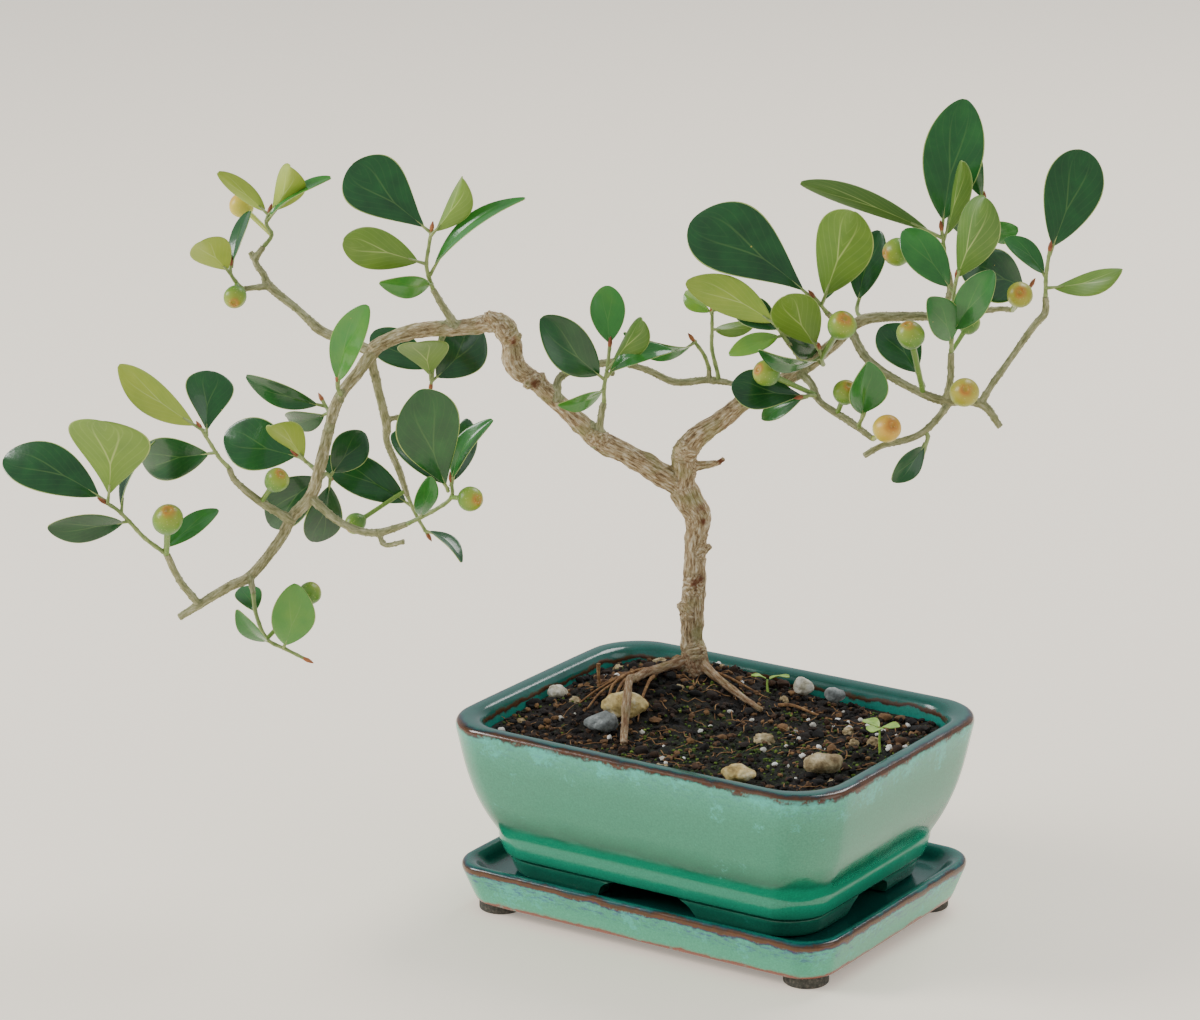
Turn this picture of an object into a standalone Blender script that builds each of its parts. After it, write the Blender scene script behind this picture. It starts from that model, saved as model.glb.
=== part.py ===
"""Mistletoe fig grown as a bonsai, in a glazed rectangular pot on its drip tray.

Lengths are in metres in Blender and are written in millimetres here, times MM.
+X runs along the pot's long side and +Z is up.  The origin is on the table under the middle
of the whole plant, so the pot stands POT_PLACE away from it, and the tree reaches out past
the pot's left end.  Pot and soil are drawn about the pot's own middle.
The tree has a frame of its own: it starts where the trunk leaves the soil and is turned on
the pot by TREE_TURN, with +X along the spread of its branches and -Y to its front.
"""

from math import cos, exp, pi, radians, sin

import bmesh
import bpy
from mathutils import Matrix, Vector
from mathutils.bvhtree import BVHTree

MM = 0.001
GAP = 0.35                      # between pieces that touch

POT_PLACE = (56.0, 8.5)         # middle of the pot and tray

# Pot, outside the rim, and its levels above the table.
POT_LENGTH = 160.0
POT_WIDTH = 124.0
POT_CORNER = 21.0
POT_TOP = 73.3
POT_FLOOR = 26.4
POT_BELLY = 21.4                # underside of the pot between its feet
POT_FOOT = 13.8                 # where the feet stand in the tray
FOOT_ARCH_LONG = 25.0           # half the gap between two feet of a long side
FOOT_ARCH_SHORT = 18.0
FOOT_ARCH_TAPER = 5.0           # each gap is narrower at its top by this on each side
FOOT_ARCH_RISE = 2.5            # and cuts this far into the underside
DRAIN_X = 35.0                  # drain holes, either side of the middle
DRAIN_RADIUS = 6.0
SCREEN_SIZE = 24.0
SCREEN_WIRE = 1.2

# Drip tray.
TRAY_LENGTH = 156.0
TRAY_WIDTH = 114.0
TRAY_CORNER = 15.0
TRAY_FLOOR = 13.5
TRAY_FOOT_RADIUS = 8.0
TRAY_FOOT_INSET = 14.4
TRAY_FOOT_TOP = 11.0            # inside the tray's floor

# Soil: its level at the rim, and heaps as (x, y, height, spread).
SOIL_LEVEL = 66.3
SOIL_EDGE = 9.3                 # inset from the rim's outline
SOIL_HEAPS = ((-30.0, 32.0, 8.5, 20.0), (-42.0, 4.0, 5.0, 15.0))

# Tree.
TREE_BASE = (-30.0, 32.0, 75.0)
TREE_TURN = 33.2
TRUNK_POCKET = 7.9              # radius of the hole that the trunk fills in the soil
TRUNK_DEPTH = 9.0
LEAF_THICK = 0.8
STALK = 1.3                     # width of a leaf's own stalk
BLADE_START = 0.10              # the stalk's share of a leaf's length
LEAF_ROWS = (0.0, 0.13, 0.42, 0.76, 0.985)
STEM_RADIUS = 0.9               # of a green shoot
FIG_STALK = 0.7                 # radius
FIG_SIDES = 9

# How far each level of the pot lies inside the rim's outline: (inset, height).
POT_OUTSIDE = ((14.5, POT_BELLY), (12.9, 24.6), (11.7, 29.2), (12.2, 30.4), (8.3, 37.0),
               (4.5, 46.8), (2.2, 57.5), (0.5, 68.4), (0.0, 70.6), (0.4, 72.2), (2.2, 73.2))
POT_INSIDE = ((5.4, 73.2), (7.4, 72.4), (8.2, 70.4), (8.7, 66.0), (12.6, 40.0), (18.0, 28.0),
              (22.0, POT_FLOOR))
FOOT_RING = ((14.9, POT_BELLY + 0.8), (15.2, POT_BELLY - 1.5), (17.2, POT_FOOT), (25.0, POT_FOOT),
             (24.0, POT_BELLY + 0.8))
TRAY_OUTSIDE = ((9.0, 3.8), (4.4, 3.8), (3.0, 8.0), (1.0, 14.0), (0.0, 17.0), (0.5, 18.5),
                (1.8, 19.0))
TRAY_INSIDE = ((3.4, 18.9), (4.8, 18.0), (6.6, 15.0), (9.0, TRAY_FLOOR))
TRAY_RECESS = ((14.0, 8.5), (10.5, 8.0))
SOIL_SIDES = ((22.5, POT_FLOOR + GAP), (18.4, 28.0 + GAP), (13.0, 40.0), (9.6, 62.0))
CORNER_STEPS = 5
SOIL_STEPS = (1.0, 0.86, 0.68, 0.48, 0.25)

# Woody parts, joined into one: the points that each runs through, then its radius there.
WOOD = {
    "trunk": (((1, 0, -TRUNK_DEPTH), (1, 0, 0), (1, 0, 6), (0, 0, 13), (0, -1, 24), (1, 0, 37), 
               (1, 1, 47), (2, 1, 58), (-2, 0, 66), (-5, 0, 73)),
              (6.2, 6.0, 4.9, 4.0, 4.3, 4.1, 3.8, 4.8, 5.2, 5.0)),
    "right_limb": (((-4, 0, 70), (-3, -1, 76), (-3, -2, 83), (2, -3, 90), (9, -4, 95),
                    (16, -4, 101), (22, -4, 105), (37, -3, 113), (49, 0, 122), (59, 4, 130),
                    (71, 8, 131), (94, 12, 130)),
                   (4.6, 4.4, 4.7, 4.0, 3.4, 3.2, 3.0, 2.6, 2.3, 2.1, 1.8, 1.4)),
    "left_limb": (((-5, 0, 71), (-15, -1, 77), (-25, -1, 83), (-34, -1, 88), (-47, 0, 100),
                   (-57, 1, 109), (-64, 1, 115), (-65, 2, 122), (-67, 3, 127), (-71, 4, 130),
                   (-81, 5, 128), (-98, 4, 127), (-109, 2, 124), (-115, 0, 121)),
                  (4.6, 4.2, 3.8, 4.0, 3.2, 3.2, 4.0, 3.4, 4.2, 3.6, 2.9, 2.8, 2.6, 2.5)),
    "down_left": (((-113, 1, 122), (-120, -2, 113), (-127, -5, 104), (-131, -8, 91),
                   (-134, -11, 79), (-137, -12, 70), (-144, -13, 62), (-149, -14, 53),
                   (-159, -15, 41), (-167, -16, 37), (-177, -17, 31), (-185, -18, 26)),
                  (2.4, 2.2, 2.1, 2.0, 2.2, 2.2, 2.1, 1.9, 1.9, 1.8, 1.6, 1.3)),
    "up_left": (((-115, 1, 120), (-127, 8, 123), (-134, 12, 125), (-142, 17, 131),
                 (-153, 22, 139), (-155, 23, 143), (-158, 24, 148), (-155, 25, 153)),
                (2.0, 1.8, 1.9, 1.5, 1.7, 1.3, 1.3, 1.1)),
    "up_left_stub": (((-157, 24, 146), (-160, 25, 151)), (1.1, 1.0)),
    "up_left_side": (((-153, 22, 139), (-158, 20, 139), (-162, 17, 139)), (1.3, 1.1, 1.0)),
    "inner_left": (((-116, 2, 119), (-113, 10, 101), (-111, 15, 89), (-111, 17, 82),
                    (-107, 19, 71), (-104, 20, 61)),
                   (1.8, 1.6, 1.7, 1.3, 1.3, 1.1)),
    "inner_left_stub": (((-111, 15, 91), (-105, 16, 92)), (1.0, 0.9)),
    "curl": (((-137, -12, 69), (-128, -18, 63), (-120, -22, 60), (-112, -25, 60),
              (-102, -28, 64)),
             (1.7, 1.4, 1.4, 1.5, 1.1)),
    "curl_stub": (((-112, -25, 60), (-110, -27, 56), (-103, -30, 58)), (1.1, 1.0, 0.9)),
    "middle_left": (((-144, -13, 61), (-150, -17, 66), (-156, -20, 71), (-163, -24, 79),
                     (-165, -25, 84)),
                    (1.8, 1.5, 1.5, 1.2, 1.2)),
    "far_left": (((-178, -17, 31), (-184, -21, 41), (-188, -25, 52)), (1.4, 1.3, 1.3)),
    "low_spur": (((-159, -15, 41), (-158, -18, 35)), (1.3, 1.0)),
    "upper_spur": (((-85, 5, 128), (-90, 2, 137), (-93, 0, 143)), (1.6, 1.3, 1.2)),
    "under_spur": (((-90, 5, 128), (-90, 14, 124), (-92, 20, 116)), (1.5, 1.2, 1.1)),
    "crook_spur": (((-126, -4, 103), (-126, -7, 106)), (1.2, 1.0)),
    "crook_back_spur": (((-130, -8, 94), (-130, -5, 97)), (1.2, 1.0)),
    "fork_spur": (((-134, -11, 78), (-136, -8, 79)), (1.2, 1.0)),
    "fork_back_spur": (((-134, -11, 76), (-133, -6, 76)), (1.2, 1.0)),
    "middle_spur": (((-34, -1, 88), (-33, -3, 98), (-32, -3, 102)), (1.6, 1.3, 1.2)),
    "thin_twig": (((-49, 0, 103), (-48, 5, 109), (-40, 9, 112), (-28, 13, 113), (-20, 14, 111),
                   (-15, 15, 109), (-6, 15, 105), (6, 14, 106), (16, 10, 105), (21, 4, 102)),
                  (1.7, 1.5, 1.3, 1.5, 1.2, 1.3, 1.4, 1.3, 1.0, 0.9)),
    "thin_twig_stub": (((-29, 13, 113), (-29, 12, 108)), (1.0, 0.9)),
    "thin_twig_spur": (((6, 14, 106), (6, 14, 110)), (1.1, 0.9)),
    "low_right": (((38, -3, 113), (42, -8, 110), (45, -14, 105), (55, -22, 100),
                   (63, -27, 95)),
                  (1.5, 1.4, 1.3, 1.4, 1.1)),
    "inner_right": (((40, -2, 114), (37, -9, 121), (33, -14, 127)), (1.3, 1.1, 1.0)),
    "cross_right": (((56, 3, 128), (62, -8, 119), (75, -17, 112), (87, -22, 108),
                     (101, -24, 107), (108, -26, 99)),
                    (1.6, 1.6, 1.5, 1.7, 1.6, 1.2)),
    "crown_spur": (((57, 3, 128), (51, -3, 132), (47, -7, 136)), (1.4, 1.2, 1.1)),
    "rise_right": (((101, -24, 107), (104, -22, 112), (111, -18, 121), (120, -14, 133),
                    (124, -12, 137), (124, -12, 143)),
                   (1.5, 1.3, 1.2, 1.3, 1.4, 1.1)),
    "cut_twig": (((90, -22, 107), (84, -28, 101), (77, -32, 97), (65, -37, 95), (59, -39, 92)),
                 (1.4, 1.3, 1.3, 1.1, 1.1)),
    "upright": (((89, -22, 108), (90, -24, 116), (90, -25, 126)), (1.5, 1.3, 1.2)),
    "top_right": (((89, 11, 130), (92, 9, 141), (90, 7, 151)), (1.4, 1.2, 1.2)),
    "back_right": (((94, 12, 130), (104, 17, 131), (106, 20, 138), (104, 22, 148)),
                   (1.3, 1.3, 1.1, 1.0)),
    "far_right": (((104, 17, 131), (111, 16, 132), (115, 14, 132)), (1.1, 1.0, 1.0)),
}

# Roots that run over the soil: (across, deep, height of the middle above the soil, radius).
ROOTS = {
    "root_right": ((2, -1, 5, 2.2), (4, -3, 3.4, 1.9), (11, -12, 2.1, 1.4), (21, -24, 1.9, 1.1),
                   (25, -28, 1.6, 1.0)),
    "root_front": ((-1, 0, 4, 2.2), (-9, -6, 3.0, 1.8), (-17, -13, 3.3, 1.6),
                   (-21, -20, 4.6, 1.5), (-22, -27, 9.0, 1.5), (-23, -36, 13.8, 1.5),
                   (-24, -45, 12.0, 1.5), (-24.5, -50, 7.4, 1.5), (-25, -56, 3.0, 1.4),
                   (-25, -61, 1.8, 1.3)),
}

# Leaf outlines and bends: (how far out the widest place lies, roundness of the outline,
# arch along the leaf and lift of its edges, each as a share of its length or half width).
LEAF_KINDS = {
    "broad": (1.30, 0.55, 0.08, 0.12),
    "round": (1.15, 0.62, 0.07, 0.16),
    "delta": (1.75, 0.60, 0.06, 0.14),
    "narrow": (1.00, 0.75, 0.10, 0.25),
    "young": (1.25, 0.65, 0.05, 0.35),
    "folded": (1.20, 0.65, 0.06, 0.60),
    "cupped": (1.45, 0.60, -0.10, 0.45),
    "arched": (1.00, 0.75, 0.26, 0.25),
    "twisted": (1.10, 0.70, 0.12, 0.40),
    "heart": (1.50, 0.50, 0.05, 0.10),
}

# Green shoots: the stem's points, then its leaves as
# (base, tip, width, roll, kind).  A roll of 0 turns the top of the leaf to the front.
SHOOTS = {
    "spray_far_left": (((-188, -25, 52), (-195, -29, 59), (-200, -32, 66), (-204, -34, 71),
                        (-208, -35, 74)), (
        ((-207, -35, 74), (-245, -22, 87), 19, 15, "broad"),
        ((-207, -35, 74), (-206, -54, 109), 30, 170, "delta"),
        ((-203, -33, 69), (-191, -22, 93), 11, -65, "narrow"),
        ((-200, -32, 66), (-227, -48, 69), 13, -40, "round"),
        ((-190, -26, 53), (-170, -16, 66), 9, -30, "round"))),
    "spray_left_middle": (((-165, -25, 84), (-168, -27, 88), (-171, -29, 94), (-174, -31, 100)), (
        ((-173, -31, 99), (-200, -48, 127), 13, 200, "narrow"),
        ((-172, -30, 97), (-171, -16, 117), 18, 20, "delta"),
        ((-169, -27, 90), (-198, -8, 82), 16, -10, "round"))),
    "spray_low": (((-158, -18, 35), (-157, -20, 28), (-153, -24, 20), (-146, -27, 17),
                   (-139, -29, 14)), (
        ((-152, -25, 19), (-162, -40, 36), 8, -35, "narrow"),
        ((-147, -27, 17), (-141, -36, 44), 16, 10, "round"),
        ((-157, -20, 28), (-162, -6, 34), 10, 20, "round"))),
    "spray_top_left": (((-155, 25, 153), (-152, 26, 157), (-154, 27, 161), (-153, 28, 165)), (
        ((-153, 28, 164), (-171, 26, 180), 8, 150, "narrow"),
        ((-153, 28, 164), (-144, 16, 184), 12, 170, "folded"),
        ((-154, 27, 162), (-130, 22, 179), 9, -60, "narrow"))),
    "spray_upper_left": (((-162, 17, 139), (-164, 14, 142), (-166, 12, 146), (-166, 13, 149)), (
        ((-166, 12, 146), (-175, -3, 161), 15, 160, "round"),
        ((-166, 13, 148), (-160, 26, 166), 9, -50, "round"))),
    "leaf_crook": (((-126, -7, 106), (-127, -9, 109), (-127, -10, 112)), (
        ((-127, -9, 109), (-115, -20, 142), 13, -20, "round"),)),
    "spray_crook_back": (((-130, -4, 98), (-131, -2, 99), (-133, 0, 102)), (
        ((-132, -1, 100), (-161, 8, 109), 10, -30, "narrow"),
        ((-131, -3, 98), (-147, 10, 93), 10, -40, "round"))),
    "spray_fork": (((-136, -8, 79), (-139, -6, 81), (-142, -5, 83)), (
        ((-140, -5, 82), (-169, 5, 88), 20, 10, "round"),
        ((-139, -6, 81), (-150, -22, 99), 12, 150, "young"))),
    "spray_fork_back": (((-133, -6, 76), (-132, -1, 75), (-131, 4, 72)), (
        ((-132, -1, 75), (-154, 6, 54), 17, 5, "round"),
        ((-131, 3, 72), (-138, 14, 45), 14, -15, "round"),
        ((-131, 3, 73), (-119, 9, 88), 14, 15, "round"))),
    "spray_under_limb": (((-92, 20, 116), (-94, 22, 109), (-95, 23, 102)), (
        ((-95, 23, 104), (-99, 7, 122), 19, 165, "delta"),
        ((-95, 23, 103), (-78, 36, 122), 19, 15, "round"),
        ((-94, 22, 107), (-117, 36, 118), 15, 20, "round"))),
    "spray_upper": (((-93, 0, 143), (-95, -4, 152), (-94, -6, 160), (-93, -7, 166)), (
        ((-93, -7, 165), (-122, 8, 186), 24, 15, "delta"),
        ((-93, -7, 164), (-81, -18, 187), 11, 150, "folded"),
        ((-95, -4, 153), (-123, -26, 166), 15, 175, "round"),
        ((-94, -3, 149), (-60, -18, 180), 8, -45, "narrow"),
        ((-93, -1, 145), (-111, -20, 150), 9, -30, "narrow"))),
    "spray_curl": (((-102, -28, 64), (-92, -31, 70), (-86, -32, 75), (-86, -32, 81)), (
        ((-87, -32, 77), (-96, -42, 117), 24, 10, "delta"),
        ((-87, -32, 78), (-107, -18, 95), 13, 25, "round"),
        ((-86, -32, 80), (-71, -38, 105), 9, -40, "narrow"),
        ((-97, -30, 67), (-93, -44, 86), 9, 30, "round"),
        ((-86, -32, 79), (-80, -18, 100), 10, 30, "round"))),
    "spray_inner": (((-104, 20, 61), (-101, 22, 53), (-97, 24, 45)), (
        ((-102, 22, 56), (-135, 26, 73), 15, 10, "round"),
        ((-98, 23, 47), (-84, 12, 38), 8, -60, "narrow"))),
    "spray_middle": (((-32, -3, 102), (-32, -4, 108), (-31, -4, 114), (-30, -3, 123)), (
        ((-32, -4, 111), (-54, -14, 136), 17, 10, "round"),
        ((-30, -3, 122), (-31, 6, 143), 13, 5, "round"),
        ((-31, -4, 114), (-18, -18, 136), 11, 150, "folded"),
        ((-32, -4, 107), (-48, -22, 106), 8, -50, "narrow"))),
    "spray_twig_arch": (((6, 14, 110), (4, 12, 116), (0, 10, 122)), (
        ((1, 11, 121), (-25, 0, 127), 9, -50, "arched"),)),
    "spray_twig_small": (((9, 13, 109), (7, 16, 117), (7, 17, 124), (7, 17, 131)), (
        ((7, 17, 124), (23, 24, 125), 7, 150, "narrow"),
        ((7, 17, 130), (-3, 24, 136), 8, -40, "young"),
        ((7, 17, 130), (10, 8, 139), 7, 160, "young"))),
    "spray_right_inner": (((33, -14, 127), (31, -16, 130), (29, -17, 134)), (
        ((30, -17, 133), (-3, -10, 148), 14, 165, "round"),
        ((31, -16, 131), (15, 0, 138), 12, 10, "round"))),
    "spray_right_shade": (((46, -7, 117), (45, -13, 121), (44, -18, 126)), (
        ((44, -17, 125), (31, -27, 147), 18, 160, "round"),
        ((45, -13, 121), (22, -39, 130), 9, -60, "narrow"))),
    "spray_crown_left": (((47, -7, 136), (45, -9, 139), (42, -11, 143)), (
        ((42, -11, 142), (-1, 6, 167), 28, 10, "delta"),
        ((45, -9, 139), (54, -36, 179), 22, 165, "round"))),
    "leaf_crown_inner": (((59, 9, 132), (59, 12, 134), (60, 14, 137)), (
        ((59, 12, 134), (67, 20, 160), 13, -15, "round"),)),
    "spray_low_front": (((43, -13, 107), (41, -16, 108), (38, -18, 108)), (
        ((40, -17, 108), (13, -19, 112), 15, 15, "delta"),
        ((40, -17, 108), (24, -8, 98), 9, 30, "round"))),
    "leaf_low_middle": (((58, -26, 100), (59, -28, 103), (60, -29, 106)), (
        ((59, -28, 103), (60, -34, 125), 15, 20, "folded"),)),
    "spray_crossing": (((81, -18, 112), (80, -14, 114), (79, -10, 116)), (
        ((80, -13, 114), (67, -2, 130), 16, 10, "round"),)),
    "spray_inner_right": (((90, -25, 126), (90, -26, 134), (90, -27, 144), (91, -28, 154)), (
        ((91, -28, 152), (99, -42, 185), 17, 150, "cupped"),
        ((90, -27, 148), (73, -16, 168), 14, -10, "round"),
        ((90, -26, 133), (103, -38, 158), 13, -20, "round"),
        ((90, -25, 129), (81, -36, 148), 13, 15, "round"))),
    "spray_top_right": (((90, 7, 151), (89, 5, 158), (88, 4, 164)), (
        ((88, 4, 163), (96, 14, 209), 22, -10, "round"),
        ((88, 4, 161), (37, -8, 183), 9, 150, "twisted"),
        ((89, 5, 159), (94, -8, 191), 9, 140, "folded"))),
    "spray_top_back": (((104, 22, 148), (103, 24, 156), (105, 26, 164), (105, 26, 170)), (
        ((105, 26, 169), (100, 34, 192), 9, -30, "narrow"),
        ((104, 25, 160), (116, 12, 162), 9, 30, "round"))),
    "spray_right_back": (((115, 14, 132), (118, 12, 136), (121, 10, 142)), (
        ((120, 11, 140), (95, -4, 150), 20, 10, "round"),)),
    "spray_heart": (((124, -12, 143), (124, -12, 151), (125, -12, 160)), (
        ((125, -12, 158), (137, -4, 194), 21, -5, "heart"),
        ((124, -12, 146), (149, -28, 156), 10, 150, "narrow"))),
    "leaf_low_right": (((82, -31, 97), (81, -33, 94), (80, -35, 91)), (
        ((81, -33, 95), (69, -43, 84), 9, -20, "round"),)),
}

# Figs: where the stalk leaves its twig, the middle of the fig, and its width.
FIGS = {
    "fig_far_left": ((-188, -27, 54), (-186, -36, 68), 11.3),
    "fig_left_fork": ((-153, -20, 71), (-148, -27, 80), 9.0),
    "fig_top_left": ((-155, 27, 156), (-164, 40, 165), 9.2),
    "fig_upper_left": ((-164, 13, 142), (-164, 5, 139), 8.6),
    "fig_low": ((-151, -26, 20), (-138, -14, 34), 8.6),
    "fig_curl": ((-87, -32, 76), (-79, -41, 77), 9.2),
    "fig_behind": ((-105, 19, 63), (-123, 14, 52), 8.0),
    "fig_top_right": ((89, 5, 156), (72, -2, 157), 10.6),
    "fig_crown": ((46, -12, 123), (51, -30, 137), 10.6),
    "fig_middle_right": ((81, -21, 112), (75, -32, 134), 10.2),
    "fig_front_left": ((43, -12, 108), (25, -27, 119), 9.6),
    "fig_front_low": ((50, -20, 103), (53, -27, 112), 9.2),
    "fig_yellow": ((65, -31, 96), (67, -39, 102), 10.2),
    "fig_front": ((94, -25, 109), (94, -35, 114), 10.6),
    "fig_right": ((115, 12, 133), (115, -9, 143), 9.6),
    "fig_shaded": ((92, -23, 127), (97, -15, 134), 8.0),
}

# Loose stones: place on the soil in the pot's frame, size, turn and what it is.
STONES = {
    "flint_yellow": ((-30.0, -13.0), (19.0, 8.0, 10.0), 33, "flint"),
    "stone_under_root": ((-31.5, -25.0), (12.5, 7.5, 7.0), 33, "slate"),
    "stone_white": ((-66.0, -2.0), (8.0, 6.5, 5.5), 10, "quartz"),
    "stone_front": ((34.0, -40.0), (14.0, 9.0, 5.5), 0, "flint"),
    "stone_front_right": ((55.0, -18.0), (13.5, 9.0, 7.5), 45, "sandstone"),
    "flint_pale": ((9.0, 46.0), (8.0, 6.0, 6.5), 20, "quartz"),
    "stone_blue_grey": ((23.0, 45.0), (7.5, 6.0, 5.5), 50, "slate"),
}

# Weeds: place in the pot's frame, height, and (direction, length, width) of each leaflet.
SEEDLINGS = {
    "seedling": ((60.0, 12.0), 9.0, ((160, 8.0, 6.0), (20, 7.0, 6.0), (280, 8.0, 6.5))),
    "sprout": ((-4.0, 42.0), 4.0, ((30, 8.0, 3.0), (200, 6.0, 2.5))),
}

COLOURS = {
    "glaze": ((0.110, 0.330, 0.255), 0.18),
    "screen": ((0.03, 0.03, 0.03), 0.50),
    "soil": ((0.030, 0.022, 0.014), 0.95),
    "bark": ((0.330, 0.265, 0.185), 0.80),
    "leaf": ((0.035, 0.130, 0.030), 0.35),
    "fig": ((0.300, 0.330, 0.060), 0.40),
    "sprout": ((0.200, 0.340, 0.060), 0.45),
    "flint": ((0.430, 0.330, 0.130), 0.60),
    "slate": ((0.230, 0.270, 0.310), 0.60),
    "quartz": ((0.480, 0.450, 0.350), 0.60),
    "sandstone": ((0.260, 0.200, 0.120), 0.75),
}


def clear_scene():
    for thing in list(bpy.data.objects):
        bpy.data.objects.remove(thing, do_unlink=True)
    for name in ("bonsai_tree_in_pot", "cutters"):
        group = bpy.data.collections.new(name)
        bpy.context.scene.collection.children.link(group)


def materials():
    made = {}
    for name, (colour, roughness) in COLOURS.items():
        material = bpy.data.materials.new(name)
        material.use_nodes = True
        shader = material.node_tree.nodes["Principled BSDF"]
        shader.inputs["Base Color"].default_value = (*colour, 1.0)
        shader.inputs["Roughness"].default_value = roughness
        shader.inputs["Metallic"].default_value = 0.0
        made[name] = material
    return made


def add_object(name, data, material=None, parent=None):
    """A visible piece if it has a material, and a hidden cutter or helper if it has none."""
    piece = bpy.data.objects.new(name, data)
    group = "bonsai_tree_in_pot" if material else "cutters"
    bpy.data.collections[group].objects.link(piece)
    piece.parent = parent or bpy.data.objects["pot_middle"]
    if material:
        data.materials.append(material)
    else:
        piece.hide_render = True
        piece.display_type = "WIRE"
    return piece


def mesh_from(shape, name):
    """Turns a bmesh drawn in millimetres into a mesh in metres."""
    shape.transform(Matrix.Scale(MM, 4))
    mesh = bpy.data.meshes.new(name)
    shape.to_mesh(mesh)
    shape.free()
    return mesh


def boolean(piece, other, operation, solver="EXACT"):
    modifier = piece.modifiers.new(other.name, "BOOLEAN")
    modifier.operation = operation
    modifier.object = other
    modifier.solver = solver


def smooth(piece, angle=40.0):
    piece.data.shade_smooth()
    piece.data.set_sharp_from_angle(angle=radians(angle))


def rounded_ring(length, width, corner, inset):
    """Points round a rectangle with round corners, moved in by inset."""
    half_x = length / 2 - inset
    half_y = width / 2 - inset
    radius = max(corner - 0.45 * inset, 2.0)
    points = []
    for index, (side_x, side_y) in enumerate(((1, 1), (-1, 1), (-1, -1), (1, -1))):
        for step in range(CORNER_STEPS + 1):
            angle = (index + step / CORNER_STEPS) * pi / 2
            points.append((side_x * (half_x - radius) + radius * cos(angle),
                           side_y * (half_y - radius) + radius * sin(angle)))
    return points


def loft(rings, closed=False):
    """Joins rings of equal count in order, and caps the first and last or joins them too."""
    shape = bmesh.new()
    rows = [[shape.verts.new(point) for point in ring] for ring in rings]
    pairs = list(zip(rows, rows[1:]))
    if closed:
        pairs.append((rows[-1], rows[0]))
    for lower, upper in pairs:
        for index in range(len(lower)):
            after = (index + 1) % len(lower)
            shape.faces.new((lower[index], lower[after], upper[after], upper[index]))
    if not closed:
        shape.faces.new(reversed(rows[0]))
        shape.faces.new(rows[-1])
    bmesh.ops.recalc_face_normals(shape, faces=shape.faces)
    return shape


def pot_rings(profile):
    return [[(x, y, z) for x, y in rounded_ring(POT_LENGTH, POT_WIDTH, POT_CORNER, inset)]
            for inset, z in profile]


def tray_rings(profile):
    return [[(x, y, z) for x, y in rounded_ring(TRAY_LENGTH, TRAY_WIDTH, TRAY_CORNER, inset)]
            for inset, z in profile]


def cylinder(name, radius, low, high, x=0.0, y=0.0, sides=16):
    shape = bmesh.new()
    bmesh.ops.create_cone(shape, cap_ends=True, segments=sides, radius1=radius, radius2=radius,
                          depth=high - low)
    bmesh.ops.translate(shape, verts=shape.verts, vec=(x, y, (low + high) / 2))
    return add_object(name, mesh_from(shape, name))


def arch_cutter(name, half_gap, reach, along_y):
    """A bar through two opposite sides of the foot ring, wider at the table than at the pot."""
    shape = bmesh.new()
    bmesh.ops.create_cube(shape, size=1.0)
    low = POT_FOOT - FOOT_ARCH_RISE
    high = POT_BELLY + FOOT_ARCH_RISE
    for vert in shape.verts:
        half = half_gap if vert.co.z < 0 else half_gap - FOOT_ARCH_TAPER
        vert.co = (2 * half * vert.co.x, 2 * reach * vert.co.y, high if vert.co.z > 0 else low)
    if not along_y:
        bmesh.ops.rotate(shape, verts=shape.verts, cent=(0, 0, 0),
                         matrix=Matrix.Rotation(pi / 2, 3, "Z"))
    return add_object(name, mesh_from(shape, name))


def build_pot(look):
    body = add_object("pot", mesh_from(loft(pot_rings(POT_OUTSIDE + POT_INSIDE)), "pot"),
                      look["glaze"])
    feet = add_object("foot_ring", mesh_from(loft(pot_rings(FOOT_RING), closed=True), "feet"))
    boolean(feet, arch_cutter("arch_long", FOOT_ARCH_LONG, POT_WIDTH, True), "DIFFERENCE")
    boolean(feet, arch_cutter("arch_short", FOOT_ARCH_SHORT, POT_LENGTH, False), "DIFFERENCE")
    boolean(body, feet, "UNION")
    for side in (-1, 1):
        drain = cylinder(f"drain_{side}", DRAIN_RADIUS, POT_BELLY - 3, POT_FLOOR + 3,
                         x=side * DRAIN_X)
        boolean(body, drain, "DIFFERENCE")
    smooth(body)


def build_tray(look):
    profile = TRAY_RECESS + TRAY_OUTSIDE + TRAY_INSIDE
    tray = add_object("drip_tray", mesh_from(loft(tray_rings(profile)), "tray"), look["glaze"])
    for side_x in (-1, 1):
        for side_y in (-1, 1):
            foot = cylinder(f"tray_foot_{side_x}_{side_y}", TRAY_FOOT_RADIUS, 0.0,
                            TRAY_FOOT_TOP,
                            x=side_x * (TRAY_LENGTH / 2 - TRAY_FOOT_INSET),
                            y=side_y * (TRAY_WIDTH / 2 - TRAY_FOOT_INSET), sides=14)
            boolean(tray, foot, "UNION")
    smooth(tray)


def build_screens(look):
    """A square of plastic mesh over each drain hole keeps the soil in."""
    for name, side in (("drain_screen_left", -1), ("drain_screen_right", 1)):
        shape = bmesh.new()
        bmesh.ops.create_grid(shape, x_segments=3, y_segments=3, size=SCREEN_SIZE / 2)
        level = POT_FLOOR + GAP + SCREEN_WIRE / 2
        bmesh.ops.translate(shape, verts=shape.verts, vec=(side * DRAIN_X, 0, level))
        screen = add_object(name, mesh_from(shape, name), look["screen"])
        wire = screen.modifiers.new("wire", "WIREFRAME")
        wire.thickness = SCREEN_WIRE * MM
        wire.use_even_offset = False
        wire.use_boundary = True


def soil_height(x, y):
    """Height of the soil above the table: level near the rim, heaped at the trunk."""
    return SOIL_LEVEL + sum(
        height * exp(-((x - heap_x) ** 2 + (y - heap_y) ** 2) / (2 * spread ** 2))
        for heap_x, heap_y, height, spread in SOIL_HEAPS)


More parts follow.
